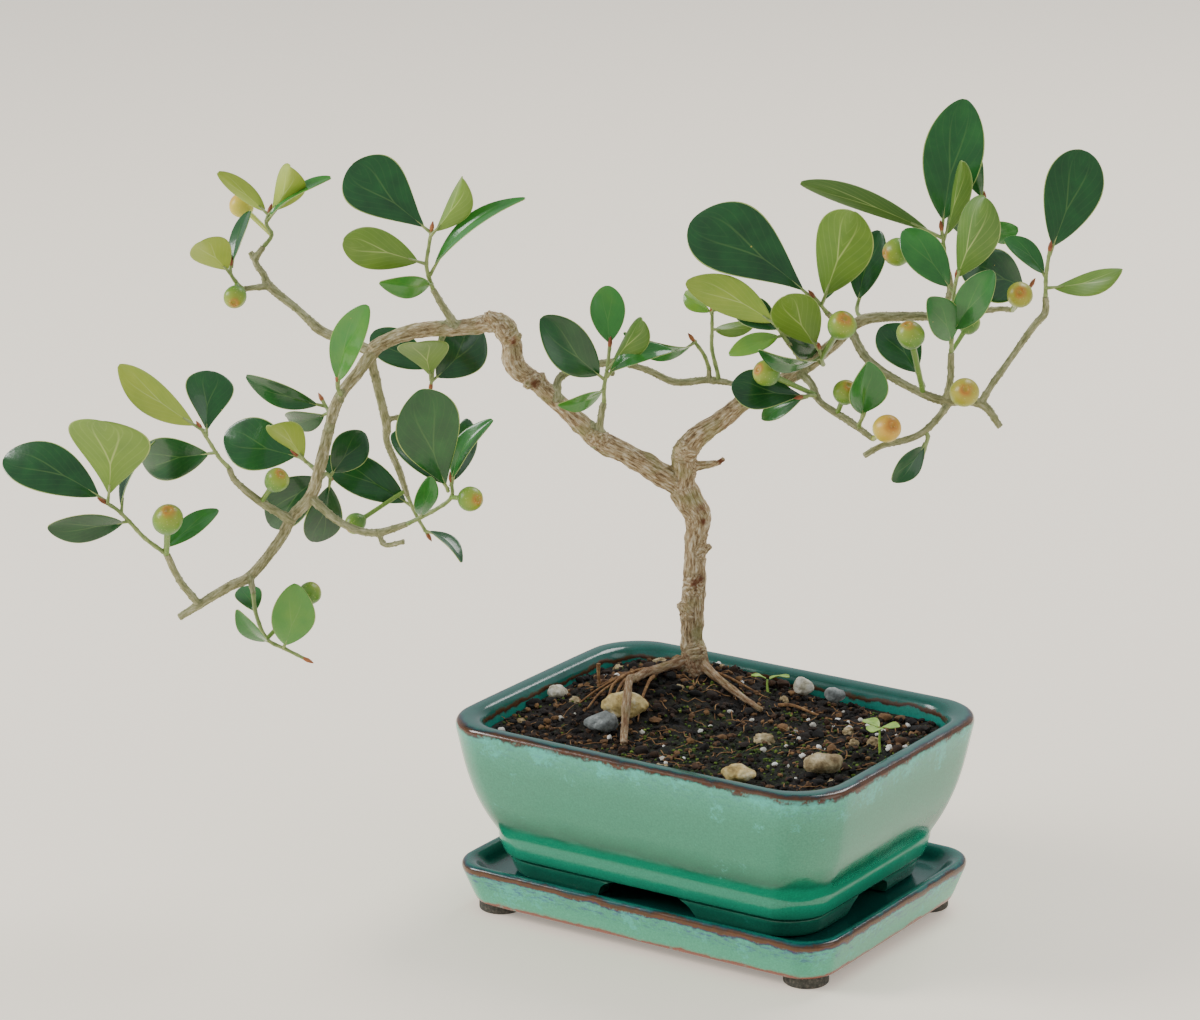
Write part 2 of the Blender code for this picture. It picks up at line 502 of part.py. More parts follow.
def tree_to_pot(across, deep):
    turn = radians(TREE_TURN)
    return (TREE_BASE[0] + across * cos(turn) - deep * sin(turn),
            TREE_BASE[1] + across * sin(turn) + deep * cos(turn))


def build_soil(look):
    """Makes the soil and returns its upper surface, for what lies on it."""
    edge = rounded_ring(POT_LENGTH, POT_WIDTH, POT_CORNER, SOIL_EDGE)
    tops = [[(x * step, y * step, soil_height(x * step, y * step)) for x, y in edge]
            for step in SOIL_STEPS]
    shape = loft(pot_rings(SOIL_SIDES) + tops)
    ground = BVHTree.FromBMesh(shape)
    soil = add_object("soil", mesh_from(shape, "soil"), look["soil"])
    pocket = cylinder("trunk_pocket", TRUNK_POCKET, TREE_BASE[2] - TRUNK_DEPTH - 4,
                      TREE_BASE[2] + TRUNK_DEPTH, x=TREE_BASE[0], y=TREE_BASE[1])
    boolean(soil, pocket, "DIFFERENCE")
    for side in (-1, 1):
        shape = bmesh.new()
        bmesh.ops.create_cube(shape, size=1.0)
        size = SCREEN_SIZE + SCREEN_WIRE + 2 * GAP
        bmesh.ops.scale(shape, verts=shape.verts, vec=(size, size, 2 * (SCREEN_WIRE + 2 * GAP)))
        bmesh.ops.translate(shape, verts=shape.verts, vec=(side * DRAIN_X, 0, POT_FLOOR))
        room = add_object(f"screen_room_{side}", mesh_from(shape, "screen_room"))
        boolean(soil, room, "DIFFERENCE")
    smooth(soil)
    return ground


def ground_height(ground, x, y):
    hit = ground.ray_cast(Vector((x, y, 2 * POT_TOP)), Vector((0, 0, -1)))
    return hit[0].z


def tube(name, points, radii, parent, material=None, sides=2):
    """A round stem through the points, as a closed mesh.  It is a helper with no material."""
    curve = bpy.data.curves.new(name, "CURVE")
    curve.dimensions = "3D"
    curve.bevel_depth = 1.0
    curve.bevel_resolution = sides
    curve.use_fill_caps = True
    spline = curve.splines.new("POLY")
    spline.points.add(len(points) - 1)
    for point, place, radius in zip(spline.points, points, radii):
        point.co = (*(MM * value for value in place), 1.0)
        point.radius = radius * MM
    guide = bpy.data.objects.new(name + "_guide", curve)
    bpy.context.scene.collection.objects.link(guide)
    graph = bpy.context.evaluated_depsgraph_get()
    mesh = bpy.data.meshes.new_from_object(guide.evaluated_get(graph))
    bpy.data.objects.remove(guide, do_unlink=True)
    shape = bmesh.new()
    shape.from_mesh(mesh)
    bmesh.ops.remove_doubles(shape, verts=shape.verts, dist=0.00001)
    bmesh.ops.recalc_face_normals(shape, faces=shape.faces)
    shape.to_mesh(mesh)
    shape.free()
    return add_object(name, mesh, material, parent)


def build_wood(look, tree, ground):
    wood = None
    for name, (points, radii) in WOOD.items():
        if wood is None:
            wood = tube("tree_wood", points, radii, tree, look["bark"], sides=3)
        else:
            thick = max(radii) > 2.4
            boolean(wood, tube(name, points, radii, tree, sides=2 if thick else 1), "UNION")
    for name, run in ROOTS.items():
        points = []
        for across, deep, up, _ in run:
            level = ground_height(ground, *tree_to_pot(across, deep)) - TREE_BASE[2]
            points.append((across, deep, level + up))
        radii = [radius for _, _, _, radius in run]
        boolean(wood, tube(name, points, radii, tree, sides=1), "UNION")
    smooth(wood, 60.0)


def leaf_frame(base, tip, roll):
    """Directions along a leaf, across it and out of its top face."""
    along = (tip - base).normalized()
    front = Vector((0.0, -0.96, 0.28))
    face = (front - along * front.dot(along)).normalized()
    face.rotate(Matrix.Rotation(radians(roll), 3, along))
    return along, along.cross(face), face


def blade_width(row, widest, fullness):
    """Share of the full width at a share of the leaf's length, past its stalk."""
    if row <= BLADE_START:
        return 0.0
    share = (row - BLADE_START) / (1 - BLADE_START)
    return sin(pi * share ** widest) ** fullness


def build_leaf(name, base, tip, width, roll, kind, tree):
    """A thin curved blade on a short stalk, as a helper that is joined to its stem."""
    base = Vector(base)
    tip = Vector(tip)
    along, side, face = leaf_frame(base, tip, roll)
    length = (tip - base).length
    widest, fullness, arch, lift = LEAF_KINDS[kind]
    shape = bmesh.new()
    bmesh.ops.create_grid(shape, x_segments=2, y_segments=len(LEAF_ROWS) - 1, size=1.0)
    for vert in shape.verts:
        row = LEAF_ROWS[round((vert.co.y + 1) / 2 * (len(LEAF_ROWS) - 1))]
        half = STALK / 2
        half += (width / 2 - half) * blade_width(row, widest, fullness)
        bend = arch * length * 4 * row * (1 - row) + lift * half * abs(vert.co.x) ** 1.5
        vert.co = base + along * length * row + side * half * vert.co.x + face * bend
    bmesh.ops.recalc_face_normals(shape, faces=shape.faces)
    leaf = add_object(name, mesh_from(shape, name), parent=tree)
    plate = leaf.modifiers.new("plate", "SOLIDIFY")
    plate.thickness = LEAF_THICK * MM
    plate.offset = 0.0
    return leaf


def build_shoots(look, tree):
    for name, (stem, leaves) in SHOOTS.items():
        start = Vector(stem[0])
        clear = (Vector(stem[1]) - start).normalized() * (GAP + 0.3)
        points = [tuple(start + clear)] + list(stem[1:])
        radii = [STEM_RADIUS] * (len(stem) - 1) + [STEM_RADIUS * 0.8]
        shoot = tube(name, points, radii, tree, look["leaf"], sides=1)
        for number, leaf in enumerate(leaves):
            blade = build_leaf(f"{name}_{number}", *leaf, tree)
            # The exact solver leaves slivers where a thin blade meets its stem.
            boolean(shoot, blade, "UNION", "MANIFOLD")
        smooth(shoot, 60.0)


def build_fig(name, root, middle, width, look, tree):
    """A turned fruit: a flat eye, a round body and a neck that runs into its stalk."""
    root = Vector(root)
    middle = Vector(middle)
    outward = middle - root
    reach = outward.length - STEM_RADIUS - 2 * GAP
    radius = width / 2
    profile = ((0.0, 0.90 * radius), (0.42 * radius, 0.92 * radius), (0.86 * radius, 0.52 * radius),
               (radius, 0.0), (0.84 * radius, -0.55 * radius), (0.40 * radius, -0.98 * radius),
               (FIG_STALK, -1.25 * radius), (FIG_STALK, -max(reach, 1.35 * radius)),
               (0.0, -max(reach, 1.35 * radius)))
    shape = bmesh.new()
    points = [shape.verts.new((x, 0, z)) for x, z in profile]
    for first, second in zip(points, points[1:]):
        shape.edges.new((first, second))
    fig = add_object(name, mesh_from(shape, name), look["fig"], tree)
    fig.location = middle * MM
    fig.rotation_mode = "QUATERNION"
    fig.rotation_quaternion = outward.to_track_quat("Z", "Y")
    turn = fig.modifiers.new("turn", "SCREW")
    turn.steps = FIG_SIDES
    turn.render_steps = FIG_SIDES
    turn.use_merge_vertices = True
    turn.merge_threshold = 0.00001


def build_figs(look, tree):
    for name, (root, middle, width) in FIGS.items():
        build_fig(name, root, middle, width, look, tree)


def build_stones(look, ground):
    """Uneven pebbles: a coarse ball, flattened, knocked about by sine waves and made convex."""
    for name, ((x, y), size, turn, kind) in STONES.items():
        shape = bmesh.new()
        bmesh.ops.create_icosphere(shape, subdivisions=2, radius=0.5)
        for vert in shape.verts:
            wobble = 1 + 0.10 * sin(9 * vert.co.x + x) + 0.09 * sin(8 * vert.co.y + y)
            vert.co = Vector(part * wobble * full for part, full in zip(vert.co, size))
        bmesh.ops.delete(shape, geom=list(shape.edges), context="EDGES_FACES")
        bmesh.ops.convex_hull(shape, input=shape.verts)
        inside = [vert for vert in shape.verts if not vert.link_faces]
        bmesh.ops.delete(shape, geom=inside, context="VERTS")
        bmesh.ops.rotate(shape, verts=shape.verts, cent=(0, 0, 0),
                         matrix=Matrix.Rotation(radians(turn), 3, "Z"))
        lift = max(ground_height(ground, x + vert.co.x, y + vert.co.y) - vert.co.z
                   for vert in shape.verts if vert.co.z < 0)
        bmesh.ops.translate(shape, verts=shape.verts, vec=(x, y, lift + GAP))
        smooth(add_object(name, mesh_from(shape, name), look[kind]), 50.0)


def build_seedling(name, place, height, lobes, look, ground):
    """A small weed: a thin stalk with round leaflets at its top."""
    x, y = place
    level = ground_height(ground, x, y) + 2 * GAP
    stalk = tube(name, ((x, y, level), (x, y + 0.5, level + height)), (0.6, 0.5), None,
                 look["sprout"], sides=1)
    for number, (angle, reach, width) in enumerate(lobes):
        shape = bmesh.new()
        bmesh.ops.create_cone(shape, cap_ends=True, segments=8, radius1=0.5, radius2=0.5,
                              depth=1.0)
        turn = radians(angle)
        middle = (x + reach / 2 * cos(turn), y + 0.5 + reach / 2 * sin(turn), level + height)
        shape.transform(Matrix.Translation(middle) @ Matrix.Rotation(turn, 4, "Z")
                        @ Matrix.Diagonal((reach + 0.8, width, LEAF_THICK, 1.0)))
        lobe = add_object(f"{name}_lobe_{number}", mesh_from(shape, name))
        boolean(stalk, lobe, "UNION")
    smooth(stalk)


def add_empty(name, place, parent=None):
    empty = bpy.data.objects.new(name, None)
    bpy.context.scene.collection.objects.link(empty)
    empty.location = Vector(place) * MM
    empty.parent = parent
    return empty


def main():
    clear_scene()
    look = materials()
    tree = add_empty("tree", TREE_BASE, add_empty("pot_middle", (*POT_PLACE, 0.0)))
    tree.rotation_euler.z = radians(TREE_TURN)
    build_tray(look)
    build_pot(look)
    build_screens(look)
    ground = build_soil(look)
    build_wood(look, tree, ground)
    build_shoots(look, tree)
    build_figs(look, tree)
    build_stones(look, ground)
    for name, (place, height, lobes) in SEEDLINGS.items():
        build_seedling(name, place, height, lobes, look, ground)


main()
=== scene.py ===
"""Looks of a mistletoe fig grown as a bonsai, in its glazed pot on a drip tray.

Pieces are drawn in millimetres, about the middle of the pot or about the foot of the trunk,
and are then put in place by POT_FRAME or TREE_FRAME.
"""
import random
from math import cos, exp, hypot, pi, radians, sin

import bmesh
import bpy
from mathutils import Matrix, Vector, noise
from mathutils.kdtree import KDTree


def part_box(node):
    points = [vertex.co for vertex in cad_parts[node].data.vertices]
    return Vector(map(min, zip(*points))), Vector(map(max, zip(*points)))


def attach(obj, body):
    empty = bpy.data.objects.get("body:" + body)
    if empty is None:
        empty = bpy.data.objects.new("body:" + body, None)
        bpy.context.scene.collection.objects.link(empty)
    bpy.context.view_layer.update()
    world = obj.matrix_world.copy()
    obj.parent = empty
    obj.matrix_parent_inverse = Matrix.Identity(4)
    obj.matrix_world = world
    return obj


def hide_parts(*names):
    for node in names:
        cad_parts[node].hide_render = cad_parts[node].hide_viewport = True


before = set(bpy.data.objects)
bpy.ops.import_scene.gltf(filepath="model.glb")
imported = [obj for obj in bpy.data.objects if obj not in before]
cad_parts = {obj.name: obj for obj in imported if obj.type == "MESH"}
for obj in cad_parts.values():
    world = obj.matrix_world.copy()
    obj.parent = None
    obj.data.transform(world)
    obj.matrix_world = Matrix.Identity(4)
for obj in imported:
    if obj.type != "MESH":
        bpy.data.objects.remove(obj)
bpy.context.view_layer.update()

MM = 0.001
POT_LOW, POT_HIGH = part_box("pot")
TRAY_LOW, TRAY_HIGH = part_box("drip_tray")
POT_LENGTH = (POT_HIGH.x - POT_LOW.x) / MM
POT_WIDTH = (POT_HIGH.y - POT_LOW.y) / MM
TRAY_LENGTH = (TRAY_HIGH.x - TRAY_LOW.x) / MM
TRAY_WIDTH = (TRAY_HIGH.y - TRAY_LOW.y) / MM
POT_MIDDLE = Vector(((POT_LOW.x + POT_HIGH.x) / 2, (POT_LOW.y + POT_HIGH.y) / 2, 0.0))
TREE_BASE = Vector((-30, 32, 75))
TREE_TURN = 33.2                # degrees that the tree is turned on the pot
POT_FRAME = Matrix.Translation(POT_MIDDLE) @ Matrix.Scale(MM, 4)
TREE_FRAME = POT_FRAME @ Matrix.Translation(TREE_BASE) @ Matrix.Rotation(radians(TREE_TURN), 4, "Z")

# Pot and tray, drawn as (inset from the rim's outline, height).
POT_CORNER = 21.0
POT_SHAPE = ((14.5, 21.4), (13.6, 22.0), (12.9, 24.6), (11.9, 28.2), (12.1, 29.8), (11.0, 32.2),
             (8.3, 37.0), (4.5, 46.8), (2.2, 57.5), (0.7, 67.0), (0.0, 70.4), (0.3, 72.2),
             (1.2, 73.1), (2.6, 73.3), (4.6, 73.2), (6.3, 72.8), (7.6, 71.6), (8.3, 69.6),
             (8.7, 66.0), (12.6, 40.0), (18.0, 28.0), (22.0, 26.4))
POT_RIM = 13                    # the level of POT_SHAPE that is the top of the rim
FOOT_SHAPE = ((18.4, 13.8), (17.0, 14.2), (15.9, 17.5), (15.1, 20.4), (14.9, 22.2))
FOOT_HOLLOW = ((25.0, 10.0), (25.0, 14.5), (24.0, 21.0), (24.0, 25.0))
FOOT_SOLE = 14.6                # below this the pot's feet are bare underneath
POT_FEET_RUN = -57.0            # "run" of the pot's feet, in the lowest band of the glaze
TRAY_FEET_RUN = -40.0           # "run" of the tray's feet, past the end of its glaze
TRAY_GLAZE_END = -30.0
# Gaps between the feet: (half width, taper to the top, whether it runs front to back).
FOOT_GAPS = ((25.0, 8.0, True), (18.0, 7.0, False))
GAP_MIDDLE, GAP_HALF_HEIGHT, GAP_ROUNDING = 13.9, 7.2, 4.5
DRAIN_HOLES = ((-35.0, 6.0), (35.0, 6.0))       # place along the pot, radius
TRAY_CORNER = 15.0
TRAY_SHAPE = ((14.0, 8.5), (10.0, 7.6), (8.6, 4.6), (7.6, 3.9), (5.0, 3.8), (4.1, 4.4), (2.8, 8.4),
              (1.0, 14.0), (0.1, 16.8), (0.4, 18.3), (1.3, 19.0), (2.6, 19.0), (4.0, 18.5),
              (5.2, 17.2), (6.8, 14.8), (8.6, 13.6), (12.0, 13.5))
TRAY_RIM = 10
TRAY_FOOT = (8.0, 14.4, 11.0)   # radius, inset from the tray's sides, top

SOIL_LEVEL = 66.3
SOIL_EDGE = 9.4                 # how far the soil stays inside the rim's outline
SOIL_DEPTH = 30.0
SOIL_CELLS = (210, 156)
POT_INSIDE = ((17.0, 40.0), (13.0, 44.0), (9.7, 62.0), (9.2, 66.0), (9.2, 90.0))
# Heaps of soil: (across, deep, height, spread).
SOIL_HEAPS = ((-30.0, 32.0, 8.5, 20.0), (-42.0, 4.0, 5.0, 15.0))

# Woody parts: the points that each runs through, then its radius there.
WOOD = {
    "trunk": (((1, 0, -9), (1, 0, 0), (1, 0, 6), (0, 0, 13), (0, -1, 24), (1, 0, 37),
               (1, 1, 47), (2, 1, 58), (-2, 0, 66), (-5, 0, 73)),
              (6.2, 6.0, 4.9, 4.0, 4.3, 4.1, 3.8, 4.8, 5.2, 5.0)),
    "right_limb": (((-4, 0, 70), (-3, -1, 76), (-3, -2, 83), (2, -3, 90), (9, -4, 95),
                    (16, -4, 101), (22, -4, 105), (37, -3, 113), (49, 0, 122), (59, 4, 130),
                    (71, 8, 131), (94, 12, 130)),
                   (4.6, 4.4, 4.7, 4.0, 3.4, 3.2, 3.0, 2.6, 2.3, 2.1, 1.8, 1.4)),
    "left_limb": (((-5, 0, 71), (-15, -1, 77), (-25, -1, 83), (-34, -1, 88), (-47, 0, 100),
                   (-57, 1, 109), (-64, 1, 115), (-65, 2, 122), (-67, 3, 127), (-71, 4, 130),
                   (-81, 5, 128), (-98, 4, 127), (-109, 2, 124), (-115, 0, 121)),
                  (4.6, 4.2, 3.8, 4.0, 3.2, 3.2, 4.0, 3.4, 4.2, 3.6, 2.9, 2.8, 2.6, 2.5)),
    "down_left": (((-113, 1, 122), (-120, -2, 113), (-127, -5, 104), (-131, -8, 91),
                   (-134, -11, 79), (-137, -12, 70), (-144, -13, 62), (-149, -14, 53),
                   (-159, -15, 41), (-167, -16, 37), (-177, -17, 31), (-185, -18, 26)),
                  (2.4, 2.2, 2.1, 2.0, 2.2, 2.2, 2.1, 1.9, 1.9, 1.8, 1.6, 1.3)),
    "up_left": (((-115, 1, 120), (-127, 8, 123), (-134, 12, 125), (-142, 17, 131),
                 (-153, 22, 139), (-155, 23, 143), (-158, 24, 148), (-155, 25, 153)),
                (2.0, 1.8, 1.9, 1.5, 1.7, 1.3, 1.3, 1.1)),
    "up_left_stub": (((-157, 24, 146), (-160, 25, 151)), (1.1, 1.0)),
    "up_left_side": (((-153, 22, 139), (-158, 20, 139), (-162, 17, 139)), (1.3, 1.1, 1.0)),
    "inner_left": (((-116, 2, 119), (-113, 10, 101), (-111, 15, 89), (-111, 17, 82),
                    (-107, 19, 71), (-104, 20, 61)),
                   (1.8, 1.6, 1.7, 1.3, 1.3, 1.1)),
    "inner_left_stub": (((-111, 15, 91), (-105, 16, 92)), (1.0, 0.9)),
    "curl": (((-137, -12, 69), (-128, -18, 63), (-120, -22, 60), (-112, -25, 60),
              (-102, -28, 64)),
             (1.7, 1.4, 1.4, 1.5, 1.1)),
    "curl_stub": (((-112, -25, 60), (-110, -27, 56), (-103, -30, 58)), (1.1, 1.0, 0.9)),
    "middle_left": (((-144, -13, 61), (-150, -17, 66), (-156, -20, 71), (-163, -24, 79),
                     (-165, -25, 84)),
                    (1.8, 1.5, 1.5, 1.2, 1.2)),
    "far_left": (((-178, -17, 31), (-184, -21, 41), (-188, -25, 52)), (1.4, 1.3, 1.3)),
    "low_spur": (((-159, -15, 41), (-158, -18, 35)), (1.3, 1.0)),
    "upper_spur": (((-85, 5, 128), (-90, 2, 137), (-93, 0, 143)), (1.6, 1.3, 1.2)),
    "under_spur": (((-90, 5, 128), (-90, 14, 124), (-92, 20, 116)), (1.5, 1.2, 1.1)),
    "crook_spur": (((-126, -4, 103), (-126, -7, 106)), (1.2, 1.0)),
    "crook_back_spur": (((-130, -8, 94), (-130, -5, 97)), (1.2, 1.0)),
    "fork_spur": (((-134, -11, 78), (-136, -8, 79)), (1.2, 1.0)),
    "fork_back_spur": (((-134, -11, 76), (-133, -6, 76)), (1.2, 1.0)),
    "middle_spur": (((-34, -1, 88), (-33, -3, 98), (-32, -3, 102)), (1.6, 1.3, 1.2)),
    "thin_twig": (((-49, 0, 103), (-48, 5, 109), (-40, 9, 112), (-28, 13, 113), (-20, 14, 111),
                   (-15, 15, 109), (-6, 15, 105), (6, 14, 106), (16, 10, 105), (21, 4, 102)),
                  (1.7, 1.5, 1.3, 1.5, 1.2, 1.3, 1.4, 1.3, 1.0, 0.9)),
    "thin_twig_stub": (((-29, 13, 113), (-29, 12, 108)), (1.0, 0.9)),
    "thin_twig_spur": (((6, 14, 106), (6, 14, 110)), (1.1, 0.9)),
    "low_right": (((38, -3, 113), (42, -8, 110), (45, -14, 105), (55, -22, 100),
                   (63, -27, 95)),
                  (1.5, 1.4, 1.3, 1.4, 1.1)),
    "inner_right": (((40, -2, 114), (37, -9, 121), (33, -14, 127)), (1.3, 1.1, 1.0)),
    "cross_right": (((56, 3, 128), (62, -8, 119), (75, -17, 112), (87, -22, 108),
                     (101, -24, 107), (108, -26, 99)),
                    (1.6, 1.6, 1.5, 1.7, 1.6, 1.2)),
    "crown_spur": (((57, 3, 128), (51, -3, 132), (47, -7, 136)), (1.4, 1.2, 1.1)),
    "rise_right": (((101, -24, 107), (104, -22, 112), (111, -18, 121), (120, -14, 133),
                    (124, -12, 137), (124, -12, 143)),
                   (1.5, 1.3, 1.2, 1.3, 1.4, 1.1)),
    "cut_twig": (((90, -22, 107), (84, -28, 101), (77, -32, 97), (65, -37, 95), (59, -39, 92)),
                 (1.4, 1.3, 1.3, 1.1, 1.1)),
    "upright": (((89, -22, 108), (90, -24, 116), (90, -25, 126)), (1.5, 1.3, 1.2)),
    "top_right": (((89, 11, 130), (92, 9, 141), (90, 7, 151)), (1.4, 1.2, 1.2)),
    "back_right": (((94, 12, 130), (104, 17, 131), (106, 20, 138), (104, 22, 148)),
                   (1.3, 1.3, 1.1, 1.0)),
    "far_right": (((104, 17, 131), (111, 16, 132), (115, 14, 132)), (1.1, 1.0, 1.0)),
}

# Roots over the soil: (across, deep, height of the middle above the soil, radius).
ROOTS = {
    "root_right": ((2, -1, 5, 2.2), (4, -3, 3.4, 1.9), (11, -12, 2.1, 1.4), (21, -24, 1.9, 1.1),
                   (25, -28, 1.6, 1.0)),
    "root_front": ((-1, 0, 4, 2.2), (-9, -6, 3.0, 1.8), (-17, -13, 3.3, 1.6),
                   (-21, -20, 4.6, 1.5), (-22, -27, 9.0, 1.5), (-23, -36, 13.8, 1.5),
                   (-24, -45, 12.0, 1.5), (-24.5, -50, 7.4, 1.5), (-25, -56, 3.0, 1.4),
                   (-25, -61, 1.8, 1.3)),
}

# Leaf outlines and bends: (how far out the widest place lies, roundness of the outline,
# arch along the leaf and lift of its edges, each as a share of its length or half width).
LEAF_KINDS = {
    "broad": (1.30, 0.55, 0.08, 0.12),
    "round": (1.15, 0.62, 0.07, 0.16),
    "delta": (1.75, 0.60, 0.06, 0.14),
    "narrow": (1.00, 0.75, 0.10, 0.25),
    "young": (1.25, 0.65, 0.05, 0.35),
    "folded": (1.20, 0.65, 0.06, 0.60),
    "cupped": (1.45, 0.60, -0.10, 0.45),
    "arched": (1.00, 0.75, 0.26, 0.25),
    "twisted": (1.10, 0.70, 0.12, 0.40),
    "heart": (1.50, 0.50, 0.05, 0.10),
}

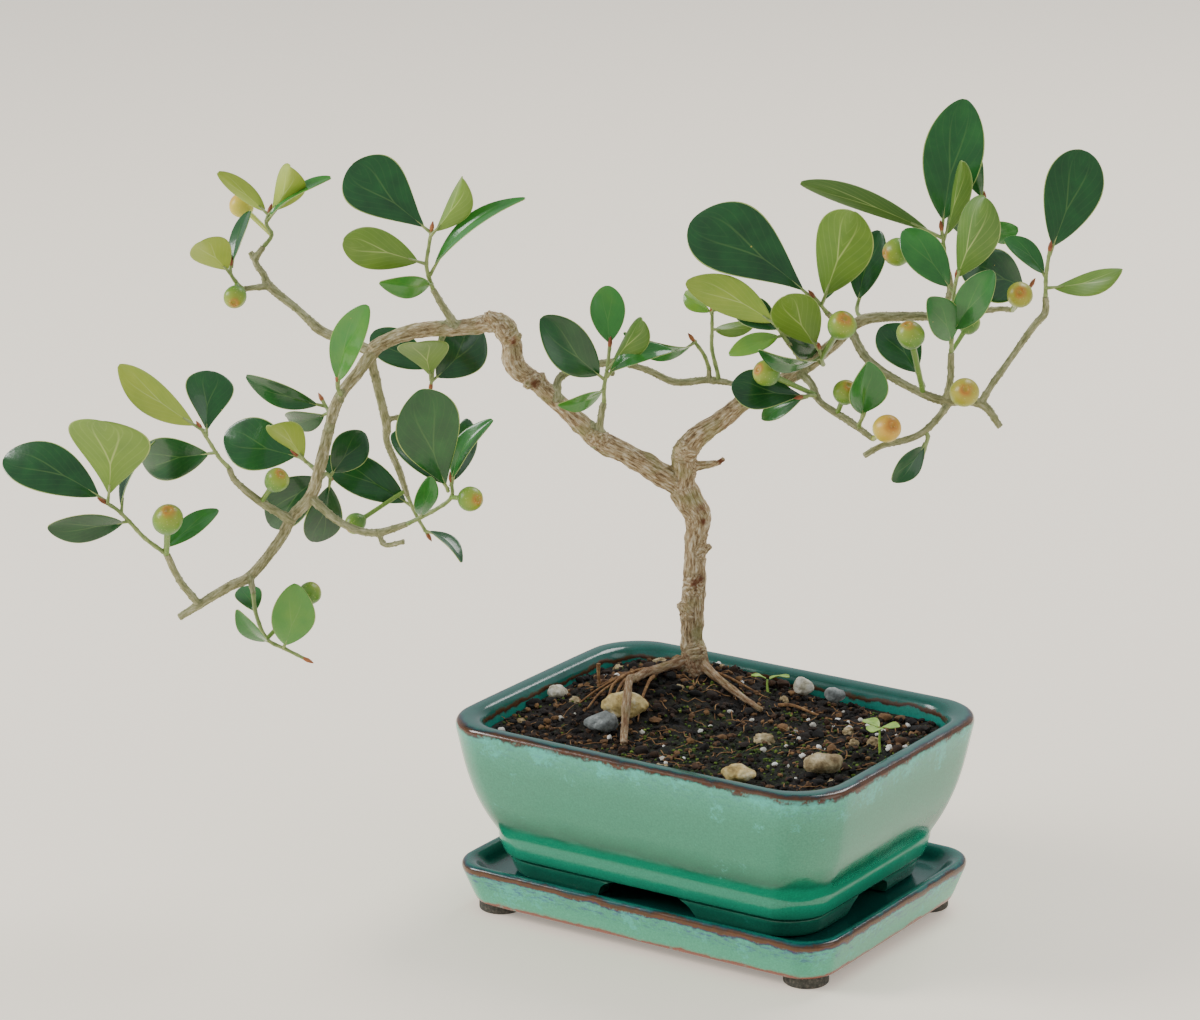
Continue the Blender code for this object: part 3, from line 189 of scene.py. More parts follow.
# Green shoots: the points of the stem, then its leaves as
# (base, tip, width, roll, kind, age).  A roll of 0 turns the upper side to the front.
SHOOTS = {
    "spray_far_left": (((-188, -25, 52), (-195, -29, 59), (-200, -32, 66), (-204, -34, 71),
                        (-208, -35, 74)), (
        ((-207, -35, 74), (-245, -22, 87), 19, 15, "broad", 0.1),
        ((-207, -35, 74), (-206, -54, 109), 30, 170, "delta", 0.6),
        ((-203, -33, 69), (-191, -22, 93), 11, -65, "narrow", 0.1),
        ((-200, -32, 66), (-227, -48, 69), 13, -40, "round", 0.1),
        ((-190, -26, 53), (-170, -16, 66), 9, -30, "round", 0.35))),
    "spray_left_middle": (((-165, -25, 84), (-168, -27, 88), (-171, -29, 94), (-174, -31, 100)), (
        ((-173, -31, 99), (-200, -48, 127), 13, 200, "narrow", 0.9),
        ((-172, -30, 97), (-171, -16, 117), 18, 20, "delta", 0.15),
        ((-169, -27, 90), (-198, -8, 82), 16, -10, "round", 0.1))),
    "spray_low": (((-158, -18, 35), (-157, -20, 28), (-153, -24, 20), (-146, -27, 17),
                   (-139, -29, 14)), (
        ((-152, -25, 19), (-162, -40, 36), 8, -35, "narrow", 0.35),
        ((-147, -27, 17), (-141, -36, 44), 16, 10, "round", 0.55),
        ((-157, -20, 28), (-162, -6, 34), 10, 20, "round", 0.3))),
    "spray_top_left": (((-155, 25, 153), (-152, 26, 157), (-154, 27, 161), (-153, 28, 165)), (
        ((-153, 28, 164), (-171, 26, 180), 8, 150, "narrow", 0.85),
        ((-153, 28, 164), (-144, 16, 184), 12, 170, "folded", 0.9),
        ((-154, 27, 162), (-130, 22, 179), 9, -60, "narrow", 0.45))),
    "spray_upper_left": (((-162, 17, 139), (-164, 14, 142), (-166, 12, 146), (-166, 13, 149)), (
        ((-166, 12, 146), (-175, -3, 161), 15, 160, "round", 0.9),
        ((-166, 13, 148), (-160, 26, 166), 9, -50, "round", 0.15))),
    "leaf_crook": (((-126, -7, 106), (-127, -9, 109), (-127, -10, 112)), (
        ((-127, -9, 109), (-115, -20, 142), 13, -20, "round", 0.5),)),
    "spray_crook_back": (((-130, -4, 98), (-131, -2, 99), (-133, 0, 102)), (
        ((-132, -1, 100), (-161, 8, 109), 10, -30, "narrow", 0.15),
        ((-131, -3, 98), (-147, 10, 93), 10, -40, "round", 0.2))),
    "spray_fork": (((-136, -8, 79), (-139, -6, 81), (-142, -5, 83)), (
        ((-140, -5, 82), (-169, 5, 88), 20, 10, "round", 0.15),
        ((-139, -6, 81), (-150, -22, 99), 12, 150, "young", 0.85))),
    "spray_fork_back": (((-133, -6, 76), (-132, -1, 75), (-131, 4, 72)), (
        ((-132, -1, 75), (-154, 6, 54), 17, 5, "round", 0.1),
        ((-131, 3, 72), (-138, 14, 45), 14, -15, "round", 0.1),
        ((-131, 3, 73), (-119, 9, 88), 14, 15, "round", 0.12))),
    "spray_under_limb": (((-92, 20, 116), (-94, 22, 109), (-95, 23, 102)), (
        ((-95, 23, 104), (-99, 7, 122), 19, 165, "delta", 0.55),
        ((-95, 23, 103), (-78, 36, 122), 19, 15, "round", 0.1),
        ((-94, 22, 107), (-117, 36, 118), 15, 20, "round", 0.1))),
    "spray_upper": (((-93, 0, 143), (-95, -4, 152), (-94, -6, 160), (-93, -7, 166)), (
        ((-93, -7, 165), (-122, 8, 186), 24, 15, "delta", 0.12),
        ((-93, -7, 164), (-81, -18, 187), 11, 150, "folded", 0.6),
        ((-95, -4, 153), (-123, -26, 166), 15, 175, "round", 0.55),
        ((-94, -3, 149), (-60, -18, 180), 8, -45, "narrow", 0.4),
        ((-93, -1, 145), (-111, -20, 150), 9, -30, "narrow", 0.5))),
    "spray_curl": (((-102, -28, 64), (-92, -31, 70), (-86, -32, 75), (-86, -32, 81)), (
        ((-87, -32, 77), (-96, -42, 117), 24, 10, "delta", 0.2),
        ((-87, -32, 78), (-107, -18, 95), 13, 25, "round", 0.1),
        ((-86, -32, 80), (-71, -38, 105), 9, -40, "narrow", 0.3),
        ((-97, -30, 67), (-93, -44, 86), 9, 30, "round", 0.35),
        ((-86, -32, 79), (-80, -18, 100), 10, 30, "round", 0.1))),
    "spray_inner": (((-104, 20, 61), (-101, 22, 53), (-97, 24, 45)), (
        ((-102, 22, 56), (-135, 26, 73), 15, 10, "round", 0.12),
        ((-98, 23, 47), (-84, 12, 38), 8, -60, "narrow", 0.15))),
    "spray_middle": (((-32, -3, 102), (-32, -4, 108), (-31, -4, 114), (-30, -3, 123)), (
        ((-32, -4, 111), (-54, -14, 136), 17, 10, "round", 0.15),
        ((-30, -3, 122), (-31, 6, 143), 13, 5, "round", 0.45),
        ((-31, -4, 114), (-18, -18, 136), 11, 150, "folded", 0.4),
        ((-32, -4, 107), (-48, -22, 106), 8, -50, "narrow", 0.5))),
    "spray_twig_arch": (((6, 14, 110), (4, 12, 116), (0, 10, 122)), (
        ((1, 11, 121), (-25, 0, 127), 9, -50, "arched", 0.35),)),
    "spray_twig_small": (((9, 13, 109), (7, 16, 117), (7, 17, 124), (7, 17, 131)), (
        ((7, 17, 124), (23, 24, 125), 7, 150, "narrow", 0.6),
        ((7, 17, 130), (-3, 24, 136), 8, -40, "young", 0.7),
        ((7, 17, 130), (10, 8, 139), 7, 160, "young", 0.75))),
    "spray_right_inner": (((33, -14, 127), (31, -16, 130), (29, -17, 134)), (
        ((30, -17, 133), (-3, -10, 148), 14, 165, "round", 0.8),
        ((31, -16, 131), (15, 0, 138), 12, 10, "round", 0.1))),
    "spray_right_shade": (((46, -7, 117), (45, -13, 121), (44, -18, 126)), (
        ((44, -17, 125), (31, -27, 147), 18, 160, "round", 0.6),
        ((45, -13, 121), (22, -39, 130), 9, -60, "narrow", 0.25))),
    "spray_crown_left": (((47, -7, 136), (45, -9, 139), (42, -11, 143)), (
        ((42, -11, 142), (-1, 6, 167), 28, 10, "delta", 0.1),
        ((45, -9, 139), (54, -36, 179), 22, 165, "round", 0.5))),
    "leaf_crown_inner": (((59, 9, 132), (59, 12, 134), (60, 14, 137)), (
        ((59, 12, 134), (67, 20, 160), 13, -15, "round", 0.1),)),
    "spray_low_front": (((43, -13, 107), (41, -16, 108), (38, -18, 108)), (
        ((40, -17, 108), (13, -19, 112), 15, 15, "delta", 0.08),
        ((40, -17, 108), (24, -8, 98), 9, 30, "round", 0.3))),
    "leaf_low_middle": (((58, -26, 100), (59, -28, 103), (60, -29, 106)), (
        ((59, -28, 103), (60, -34, 125), 15, 20, "folded", 0.35),)),
    "spray_crossing": (((81, -18, 112), (80, -14, 114), (79, -10, 116)), (
        ((80, -13, 114), (67, -2, 130), 16, 10, "round", 0.15),)),
    "spray_inner_right": (((90, -25, 126), (90, -26, 134), (90, -27, 144), (91, -28, 154)), (
        ((91, -28, 152), (99, -42, 185), 17, 150, "cupped", 0.4),
        ((90, -27, 148), (73, -16, 168), 14, -10, "round", 0.3),
        ((90, -26, 133), (103, -38, 158), 13, -20, "round", 0.3),
        ((90, -25, 129), (81, -36, 148), 13, 15, "round", 0.3))),
    "spray_top_right": (((90, 7, 151), (89, 5, 158), (88, 4, 164)), (
        ((88, 4, 163), (96, 14, 209), 22, -10, "round", 0.2),
        ((88, 4, 161), (37, -8, 183), 9, 150, "twisted", 0.3),
        ((89, 5, 159), (94, -8, 191), 9, 140, "folded", 0.45))),
    "spray_top_back": (((104, 22, 148), (103, 24, 156), (105, 26, 164), (105, 26, 170)), (
        ((105, 26, 169), (100, 34, 192), 9, -30, "narrow", 0.08),
        ((104, 25, 160), (116, 12, 162), 9, 30, "round", 0.4))),
    "spray_right_back": (((115, 14, 132), (118, 12, 136), (121, 10, 142)), (
        ((120, 11, 140), (95, -4, 150), 20, 10, "round", 0.1),)),
    "spray_heart": (((124, -12, 143), (124, -12, 151), (125, -12, 160)), (
        ((125, -12, 158), (137, -4, 194), 21, -5, "heart", 0.12),
        ((124, -12, 146), (149, -28, 156), 10, 150, "narrow", 0.5))),
    "leaf_low_right": (((82, -31, 97), (81, -33, 94), (80, -35, 91)), (
        ((81, -33, 95), (69, -43, 84), 9, -20, "round", 0.12),)),
}

# Figs: where the stalk leaves its twig, the middle of the fig, and its width.
FIGS = {
    "fig_far_left": ((-188, -27, 54), (-186, -36, 68), 11.3),
    "fig_left_fork": ((-153, -20, 71), (-148, -27, 80), 9.0),
    "fig_top_left": ((-155, 27, 156), (-164, 40, 165), 9.2),
    "fig_upper_left": ((-164, 13, 142), (-164, 5, 139), 8.6),
    "fig_low": ((-151, -26, 20), (-138, -14, 34), 8.6),
    "fig_curl": ((-87, -32, 76), (-79, -41, 77), 9.2),
    "fig_behind": ((-105, 19, 63), (-123, 14, 52), 8.0),
    "fig_top_right": ((89, 5, 156), (72, -2, 157), 10.6),
    "fig_crown": ((46, -12, 123), (51, -30, 137), 10.6),
    "fig_middle_right": ((81, -21, 112), (75, -32, 134), 10.2),
    "fig_front_left": ((43, -12, 108), (25, -27, 119), 9.6),
    "fig_front_low": ((50, -20, 103), (53, -27, 112), 9.2),
    "fig_yellow": ((65, -31, 96), (67, -39, 102), 10.2),
    "fig_front": ((94, -25, 109), (94, -35, 114), 10.6),
    "fig_right": ((115, 12, 133), (115, -9, 143), 9.6),
    "fig_shaded": ((92, -23, 127), (97, -15, 134), 8.0),
}

WOOD_SKIN = 0.46                # size of the faces of the wood's skin
STEM_RADIUS = 0.9               # of a green shoot
BLADE_START = 0.10              # the stalk's share of a leaf's length
LEAF_FRONT = Vector((0.0, -0.96, 0.28))   # the way most upper sides face
# Small leaves that the solids leave out, by the shoot that bears them.
EXTRA_LEAVES = {
    "spray_crown_left": (((45, -9, 139), (52, 4, 163), 8, 20, "narrow", 0.3),),
    "spray_right_inner": (((31, -16, 131), (44, -2, 120), 9, 10, "round", 0.1),
                          ((31, -16, 130), (12, -20, 124), 8, 20, "narrow", 0.7)),
    "spray_top_back": (((103, 24, 156), (92, 12, 172), 10, -20, "round", 0.2),),
    "spray_middle": (((-31, -4, 112), (-8, -6, 122), 9, -35, "arched", 0.35),),
    "spray_heart": (((124, -12, 150), (110, -6, 163), 9, 20, "round", 0.25),),
}
# A fig, from the foot of its stalk to the eye: (radius, height), in radii of the fruit.
FIG_RINGS = ((0.13, -1.50), (0.13, -1.36), (0.24, -1.26), (0.25, -1.18), (0.20, -1.14),
             (0.42, -0.98), (0.66, -0.80), (0.87, -0.50), (0.98, -0.12), (0.99, 0.12),
             (0.90, 0.45), (0.68, 0.74), (0.42, 0.90), (0.30, 0.955), (0.22, 0.95), (0.15, 0.88),
             (0.05, 0.86))
# Figs that have turned yellow, and how far.
RIPE_FIGS = {"fig_yellow": 0.85, "fig_top_left": 1.0, "fig_front": 0.35, "fig_right": 0.25}
STONE_KINDS = {
    "flint_yellow": "flint", "stone_under_root": "slate", "stone_white": "quartz",
    "stone_front": "flint", "stone_front_right": "sandstone", "flint_pale": "quartz",
    "stone_blue_grey": "slate",
}
# Weeds: place in the pot, height, and (direction, length, width) of each leaflet.
WEEDS = {
    "seedling": ((60.0, 12.0), 9.0, ((160, 8.0, 6.0), (20, 7.0, 6.0), (280, 8.0, 6.5))),
    "sprout": ((-4.0, 42.0), 4.0, ((30, 8.0, 3.0), (200, 6.0, 2.5))),
}
# Thin roots over the soil: (across, deep, height above the soil).
FINE_ROOTS = (
    ((-9, -5, 2.0), (-17, -9, 2.6), (-25, -14, 3.0), (-33, -21, 2.0), (-38, -28, 0.6)),
    ((-11, -6, 2.2), (-20, -11, 4.0), (-28, -19, 4.0), (-31, -28, 2.0), (-33, -36, 0.5)),
    ((-13, -8, 2.0), (-21, -15, 4.2), (-26, -24, 5.0), (-29, -33, 3.0), (-30, -44, 0.4)),
    ((-8, -3, 1.6), (-18, -4, 2.2), (-28, -8, 1.6), (-38, -13, 0.4)),
    ((-15, -10, 2.4), (-24, -12, 3.4), (-34, -17, 1.6), (-41, -20, 0.4)),
    ((31, -20, 0.4), (36, -22, 2.2), (44, -26, 1.0), (50, -30, 0.3)),
    ((-14, -12, 2.0), (-16, -20, 3.2), (-19, -30, 2.0), (-20, -38, 0.3)),
    ((4, -3, 1.5), (12, -6, 1.8), (20, -8, 0.8), (26, -12, 0.2)),
    ((-34, -10, 9.0), (-34, -10, 4.0), (-33, -10, 0.0)),
)
# Lights: (name, place in metres, size across, power in watts).
LIGHTS = (("window_left", (-1.5, -1.1, 1.1), 0.9, 34.0),
          ("window_right", (1.7, 0.2, 1.0), 1.2, 4.0),
          ("window_behind", (0.2, 1.5, 1.9), 1.2, 30.0))

# Camera: how far off and how steeply it looks down, in metres and degrees, its lens, and where
# it looks, across and up from the middle of the rim.
CAMERA_AWAY, CAMERA_RISE, CAMERA_LENS = 1.5, 16.0, 126.45
CAMERA_AIM = (-0.04106, 0.07358)
RIM_HEIGHT = 0.072

# Short broken stubs and knots on the old wood: (from, to, radius there).
KNOTS = (((1, -1, 78), (10, -4, 80), 1.7, 1.0), ((9, -4, 80), (11, -5, 82), 0.9, 0.7),
         ((-2, -2, 24), (-5.4, -2, 26), 2.6, 1.2), ((3, 0, 46), (6.6, -1, 48), 2.6, 1.0),
         ((-2, -3, 84), (-5.5, -5, 85), 2.6, 1.4), ((2, -3, 9), (4.6, -4, 10), 1.8, 0.9),
         ((0, -2, 33), (1, -4.6, 34), 2.2, 1.2), ((-33, -2, 89), (-35, -5, 90), 2.0, 1.0),
         ((-57, 0, 110), (-60, -3, 108), 2.6, 1.4), ((-65, 1, 124), (-62, -2, 127), 2.6, 1.2),
         ((-71, 3, 131), (-74, 1, 134), 2.4, 1.3), ((-54, 1, 108), (-54, 1, 112), 2.0, 1.1))
# Red-brown scars in the bark: (place, how far they reach).
SCARS = (((3.5, -5, 63), 3.0), ((2.5, -5, 68), 2.6), ((4.0, -4, 58), 2.0), ((1, -5, 35), 2.6),
         ((3, -4, 36), 2.0), ((-57, -2, 109), 2.6), ((-65, -3, 124), 2.8), ((10, -5, 81), 1.6),
         ((-13, -3, 76), 1.6), ((20, -6, 103), 1.8))


def linear(code):
    """An sRGB hex colour as linear red, green, blue and alpha."""
    parts = [int(code[index:index + 2], 16) / 255 for index in (1, 3, 5)]
    return (*(part / 12.92 if part <= 0.04045 else ((part + 0.055) / 1.055) ** 2.4
              for part in parts), 1.0)


def add(tree, kind, inputs=None, stops=None, **settings):
    """Adds a node with its settings, its values or links, and the colours of a ramp."""
    made = tree.nodes.new("ShaderNode" + kind)
    for key, value in settings.items():
        setattr(made, key, value)
    for key, value in (inputs or {}).items():
        if isinstance(value, bpy.types.NodeSocket):
            tree.links.new(value, made.inputs[key])
        else:
            made.inputs[key].default_value = value
    if stops:
        points = made.color_ramp.elements
        while len(points) < len(stops):
            points.new(1.0)
        for point, (place, code) in zip(points, stops):
            point.position = place
            point.color = linear(code)
    return made


def new_material(name, roughness=0.5, ior=1.5, **sockets):
    """A Principled material.  What is the same all over is set on the shader itself."""
    look = bpy.data.materials.new(name)
    look.use_nodes = True
    shader = look.node_tree.nodes["Principled BSDF"]
    shader.inputs["Roughness"].default_value = roughness
    shader.inputs["IOR"].default_value = ior
    for key, value in sockets.items():
        shader.inputs[key.replace("_", " ")].default_value = value
    return look, look.node_tree, shader


def glaze(name, span, stops, streaks):
    """Sea-green stoneware glaze.  It is thick and teal on the rim, breaks to iron brown on the
    edge, and is mottled turquoise just below.  "run" is the way down (below 0) or in (above 0)
    from the top of the rim, in millimetres; span is its range and stops the colours over it.
    streaks says where thin blue streaks start, are strongest and end, and how strong they are."""
    look, tree, shader = new_material(name, roughness=0.16, ior=1.52, Coat_Weight=0.15,
                                      Coat_Roughness=0.06)
    place = add(tree, "TexCoord").outputs["Object"]
    run = add(tree, "Attribute", attribute_name="run").outputs["Fac"]
    wave = add(tree, "TexNoise", {"Vector": place, "Scale": 95.0, "Detail": 5.0,
                                  "Roughness": 0.62})                # runs about 10 mm wide
    edge = add(tree, "Math", {0: wave.outputs["Fac"], 1: 6.0, 2: -3.0},
               operation="MULTIPLY_ADD").outputs[0]
    moved = add(tree, "Math", {0: run, 1: edge}, operation="ADD").outputs[0]
    share = add(tree, "MapRange", {"Value": moved, "From Min": span[0], "From Max": span[1]})
    body = add(tree, "ValToRGB", {"Fac": share.outputs[0]}, stops=stops).outputs["Color"]

    speck = add(tree, "TexNoise", {"Vector": place, "Scale": 560.0, "Detail": 6.0,
                                   "Roughness": 0.7})                # spots of 1 to 2 mm
    patch = add(tree, "TexNoise", {"Vector": place, "Scale": 80.0, "Detail": 2.0})
    below = add(tree, "MapRange", {"Value": run, "From Min": -20.0, "From Max": -4.0,
                                   "To Min": 0.26, "To Max": 0.52})
    above = add(tree, "MapRange", {"Value": run, "From Min": -3.6, "From Max": -2.6,
                                   "To Min": 1.0, "To Max": 0.0})
    weight = add(tree, "Math", {0: speck.outputs["Fac"], 1: patch.outputs["Fac"]},
                 operation="ADD").outputs[0]
    weight = add(tree, "Math", {0: weight, 1: below.outputs[0]}, operation="ADD").outputs[0]
    weight = add(tree, "MapRange", {"Value": weight, "From Min": 1.50, "From Max": 1.66,
                                    "To Max": 0.6}).outputs[0]
    weight = add(tree, "Math", {0: weight, 1: above.outputs[0]}, operation="MULTIPLY").outputs[0]
    body = add(tree, "Mix", {0: weight, 6: body, 7: linear("#4CC2B2")}, data_type="RGBA").outputs[2]

    streak = add(tree, "Mapping", {"Vector": place, "Scale": (260.0, 260.0, 900.0)})
    blue = add(tree, "TexNoise", {"Vector": streak.outputs[0], "Scale": 1.0, "Detail": 5.0,
                                  "Roughness": 0.75})                # thin level streaks
    near = add(tree, "MapRange", {"Value": run, "From Min": streaks[0], "From Max": streaks[1]})
    far = add(tree, "MapRange", {"Value": run, "From Min": streaks[1], "From Max": streaks[2],
                                 "To Min": 1.0, "To Max": 0.0})
    band = add(tree, "Math", {0: near.outputs[0], 1: far.outputs[0]}, operation="MULTIPLY")
    cut = add(tree, "MapRange", {"Value": blue.outputs["Fac"], "From Min": 0.50, "From Max": 0.62})
    band = add(tree, "Math", {0: band.outputs[0], 1: cut.outputs[0]}, operation="MULTIPLY")
    band = add(tree, "Math", {0: band.outputs[0], 1: streaks[3]}, operation="MULTIPLY")
    body = add(tree, "Mix", {0: band.outputs[0], 6: body, 7: linear("#3B4A86")},
               data_type="RGBA").outputs[2]

    # Fine crystals in the glaze, and pinholes where gas broke through it.
    grain = add(tree, "TexNoise", {"Vector": place, "Scale": 1500.0, "Detail": 3.0})
    grain = add(tree, "MapRange", {"Value": grain.outputs["Fac"], "From Min": 0.3, "From Max": 0.75,
                                   "To Min": 0.84, "To Max": 1.16}).outputs[0]
    body = add(tree, "Mix", {0: 1.0, 6: body, 7: grain}, data_type="RGBA",
               blend_type="MULTIPLY").outputs[2]
    hole = add(tree, "TexVoronoi", {"Vector": place, "Scale": 75.0})
    pick = add(tree, "SeparateColor", {0: hole.outputs["Color"]}).outputs[0]
    limit = add(tree, "MapRange", {"Value": pick, "From Min": 0.70, "From Max": 1.0,
                                   "To Max": 0.045}).outputs[0]
    dark = add(tree, "Math", {0: hole.outputs["Distance"], 1: limit}, operation="LESS_THAN")
    body = add(tree, "Mix", {0: dark.outputs[0], 6: body, 7: linear("#39352A")},
               data_type="RGBA").outputs[2]
    tree.links.new(body, shader.inputs["Base Color"])
    gloss = add(tree, "MapRange", {"Value": patch.outputs["Fac"], "From Min": 0.3, "From Max": 0.7,
                                   "To Min": 0.12, "To Max": 0.24})
    tree.links.new(gloss.outputs[0], shader.inputs["Roughness"])
    relief = add(tree, "Bump", {"Height": wave.outputs["Fac"], "Distance": 0.0004,
                                "Strength": 0.35}).outputs["Normal"]
    tree.links.new(relief, shader.inputs["Normal"])
    return look


def bare_clay():
    """Unglazed stoneware, dull and dark where it stood on the kiln shelf."""
    look, tree, shader = new_material("unglazed_stoneware", roughness=0.85)
    place = add(tree, "TexCoord").outputs["Object"]
    grit = add(tree, "TexNoise", {"Vector": place, "Scale": 900.0, "Detail": 4.0})
    colour = add(tree, "ValToRGB", {"Fac": grit.outputs["Fac"]},
                 stops=((0.3, "#2E2E29"), (0.55, "#4A4840"), (0.75, "#6B655A")))
    tree.links.new(colour.outputs["Color"], shader.inputs["Base Color"])
    relief = add(tree, "Bump", {"Height": grit.outputs["Fac"], "Distance": 0.0004,
                                "Strength": 0.6}).outputs["Normal"]
    tree.links.new(relief, shader.inputs["Normal"])
    return look


def bark():
    """Fibrous fig bark: long tan and grey strands that flake white, with algae and red-brown
    scars on old wood.  Young wood is smoother and olive, and a cut end is pale."""
    look, tree, shader = new_material("fig_bark", roughness=0.78)
    cross = add(tree, "Attribute", attribute_name="cross").outputs["Vector"]
    along = add(tree, "Attribute", attribute_name="along").outputs["Fac"]
    young = add(tree, "Attribute", attribute_name="young").outputs["Fac"]
    scar = add(tree, "Attribute", attribute_name="scar").outputs["Fac"]
    cut = add(tree, "Attribute", attribute_name="cut").outputs["Fac"]
    place = add(tree, "TexCoord").outputs["Object"]
    slow = add(tree, "Math", {0: along, 1: 0.22}, operation="MULTIPLY").outputs[0]
    strand = add(tree, "TexNoise", {"Vector": cross, "W": slow, "Scale": 1.3, "Detail": 6.0,
                                    "Roughness": 0.7}, noise_dimensions="4D").outputs["Fac"]
    old = add(tree, "ValToRGB", {"Fac": strand},
              stops=((0.32, "#47341F"), (0.42, "#826948"), (0.51, "#B39C76"), (0.60, "#D6C8A9"),
                     (0.70, "#F2EBDC")))
    green = add(tree, "ValToRGB", {"Fac": strand},
                stops=((0.30, "#5C5E3A"), (0.45, "#85875C"), (0.58, "#A7A57E"), (0.72, "#C9C4A8")))
    algae = add(tree, "TexNoise", {"Vector": place, "Scale": 110.0, "Detail": 4.0})
    algae = add(tree, "MapRange", {"Value": algae.outputs["Fac"], "From Min": 0.50,
                                   "From Max": 0.68, "To Max": 0.55}).outputs[0]
    colour = add(tree, "Mix", {0: algae, 6: old.outputs["Color"], 7: linear("#7E8348")},
                 data_type="RGBA").outputs[2]
    colour = add(tree, "Mix", {0: young, 6: colour, 7: green.outputs["Color"]},
                 data_type="RGBA").outputs[2]
    colour = add(tree, "Mix", {0: scar, 6: colour, 7: linear("#683818")},
                 data_type="RGBA").outputs[2]
    colour = add(tree, "Mix", {0: cut, 6: colour, 7: linear("#C9B48A")},
                 data_type="RGBA").outputs[2]
    tree.links.new(colour, shader.inputs["Base Color"])
    relief = add(tree, "Bump", {"Height": strand, "Distance": 0.0006,
                                "Strength": 0.8}).outputs["Normal"]
    tree.links.new(relief, shader.inputs["Normal"])
    return look


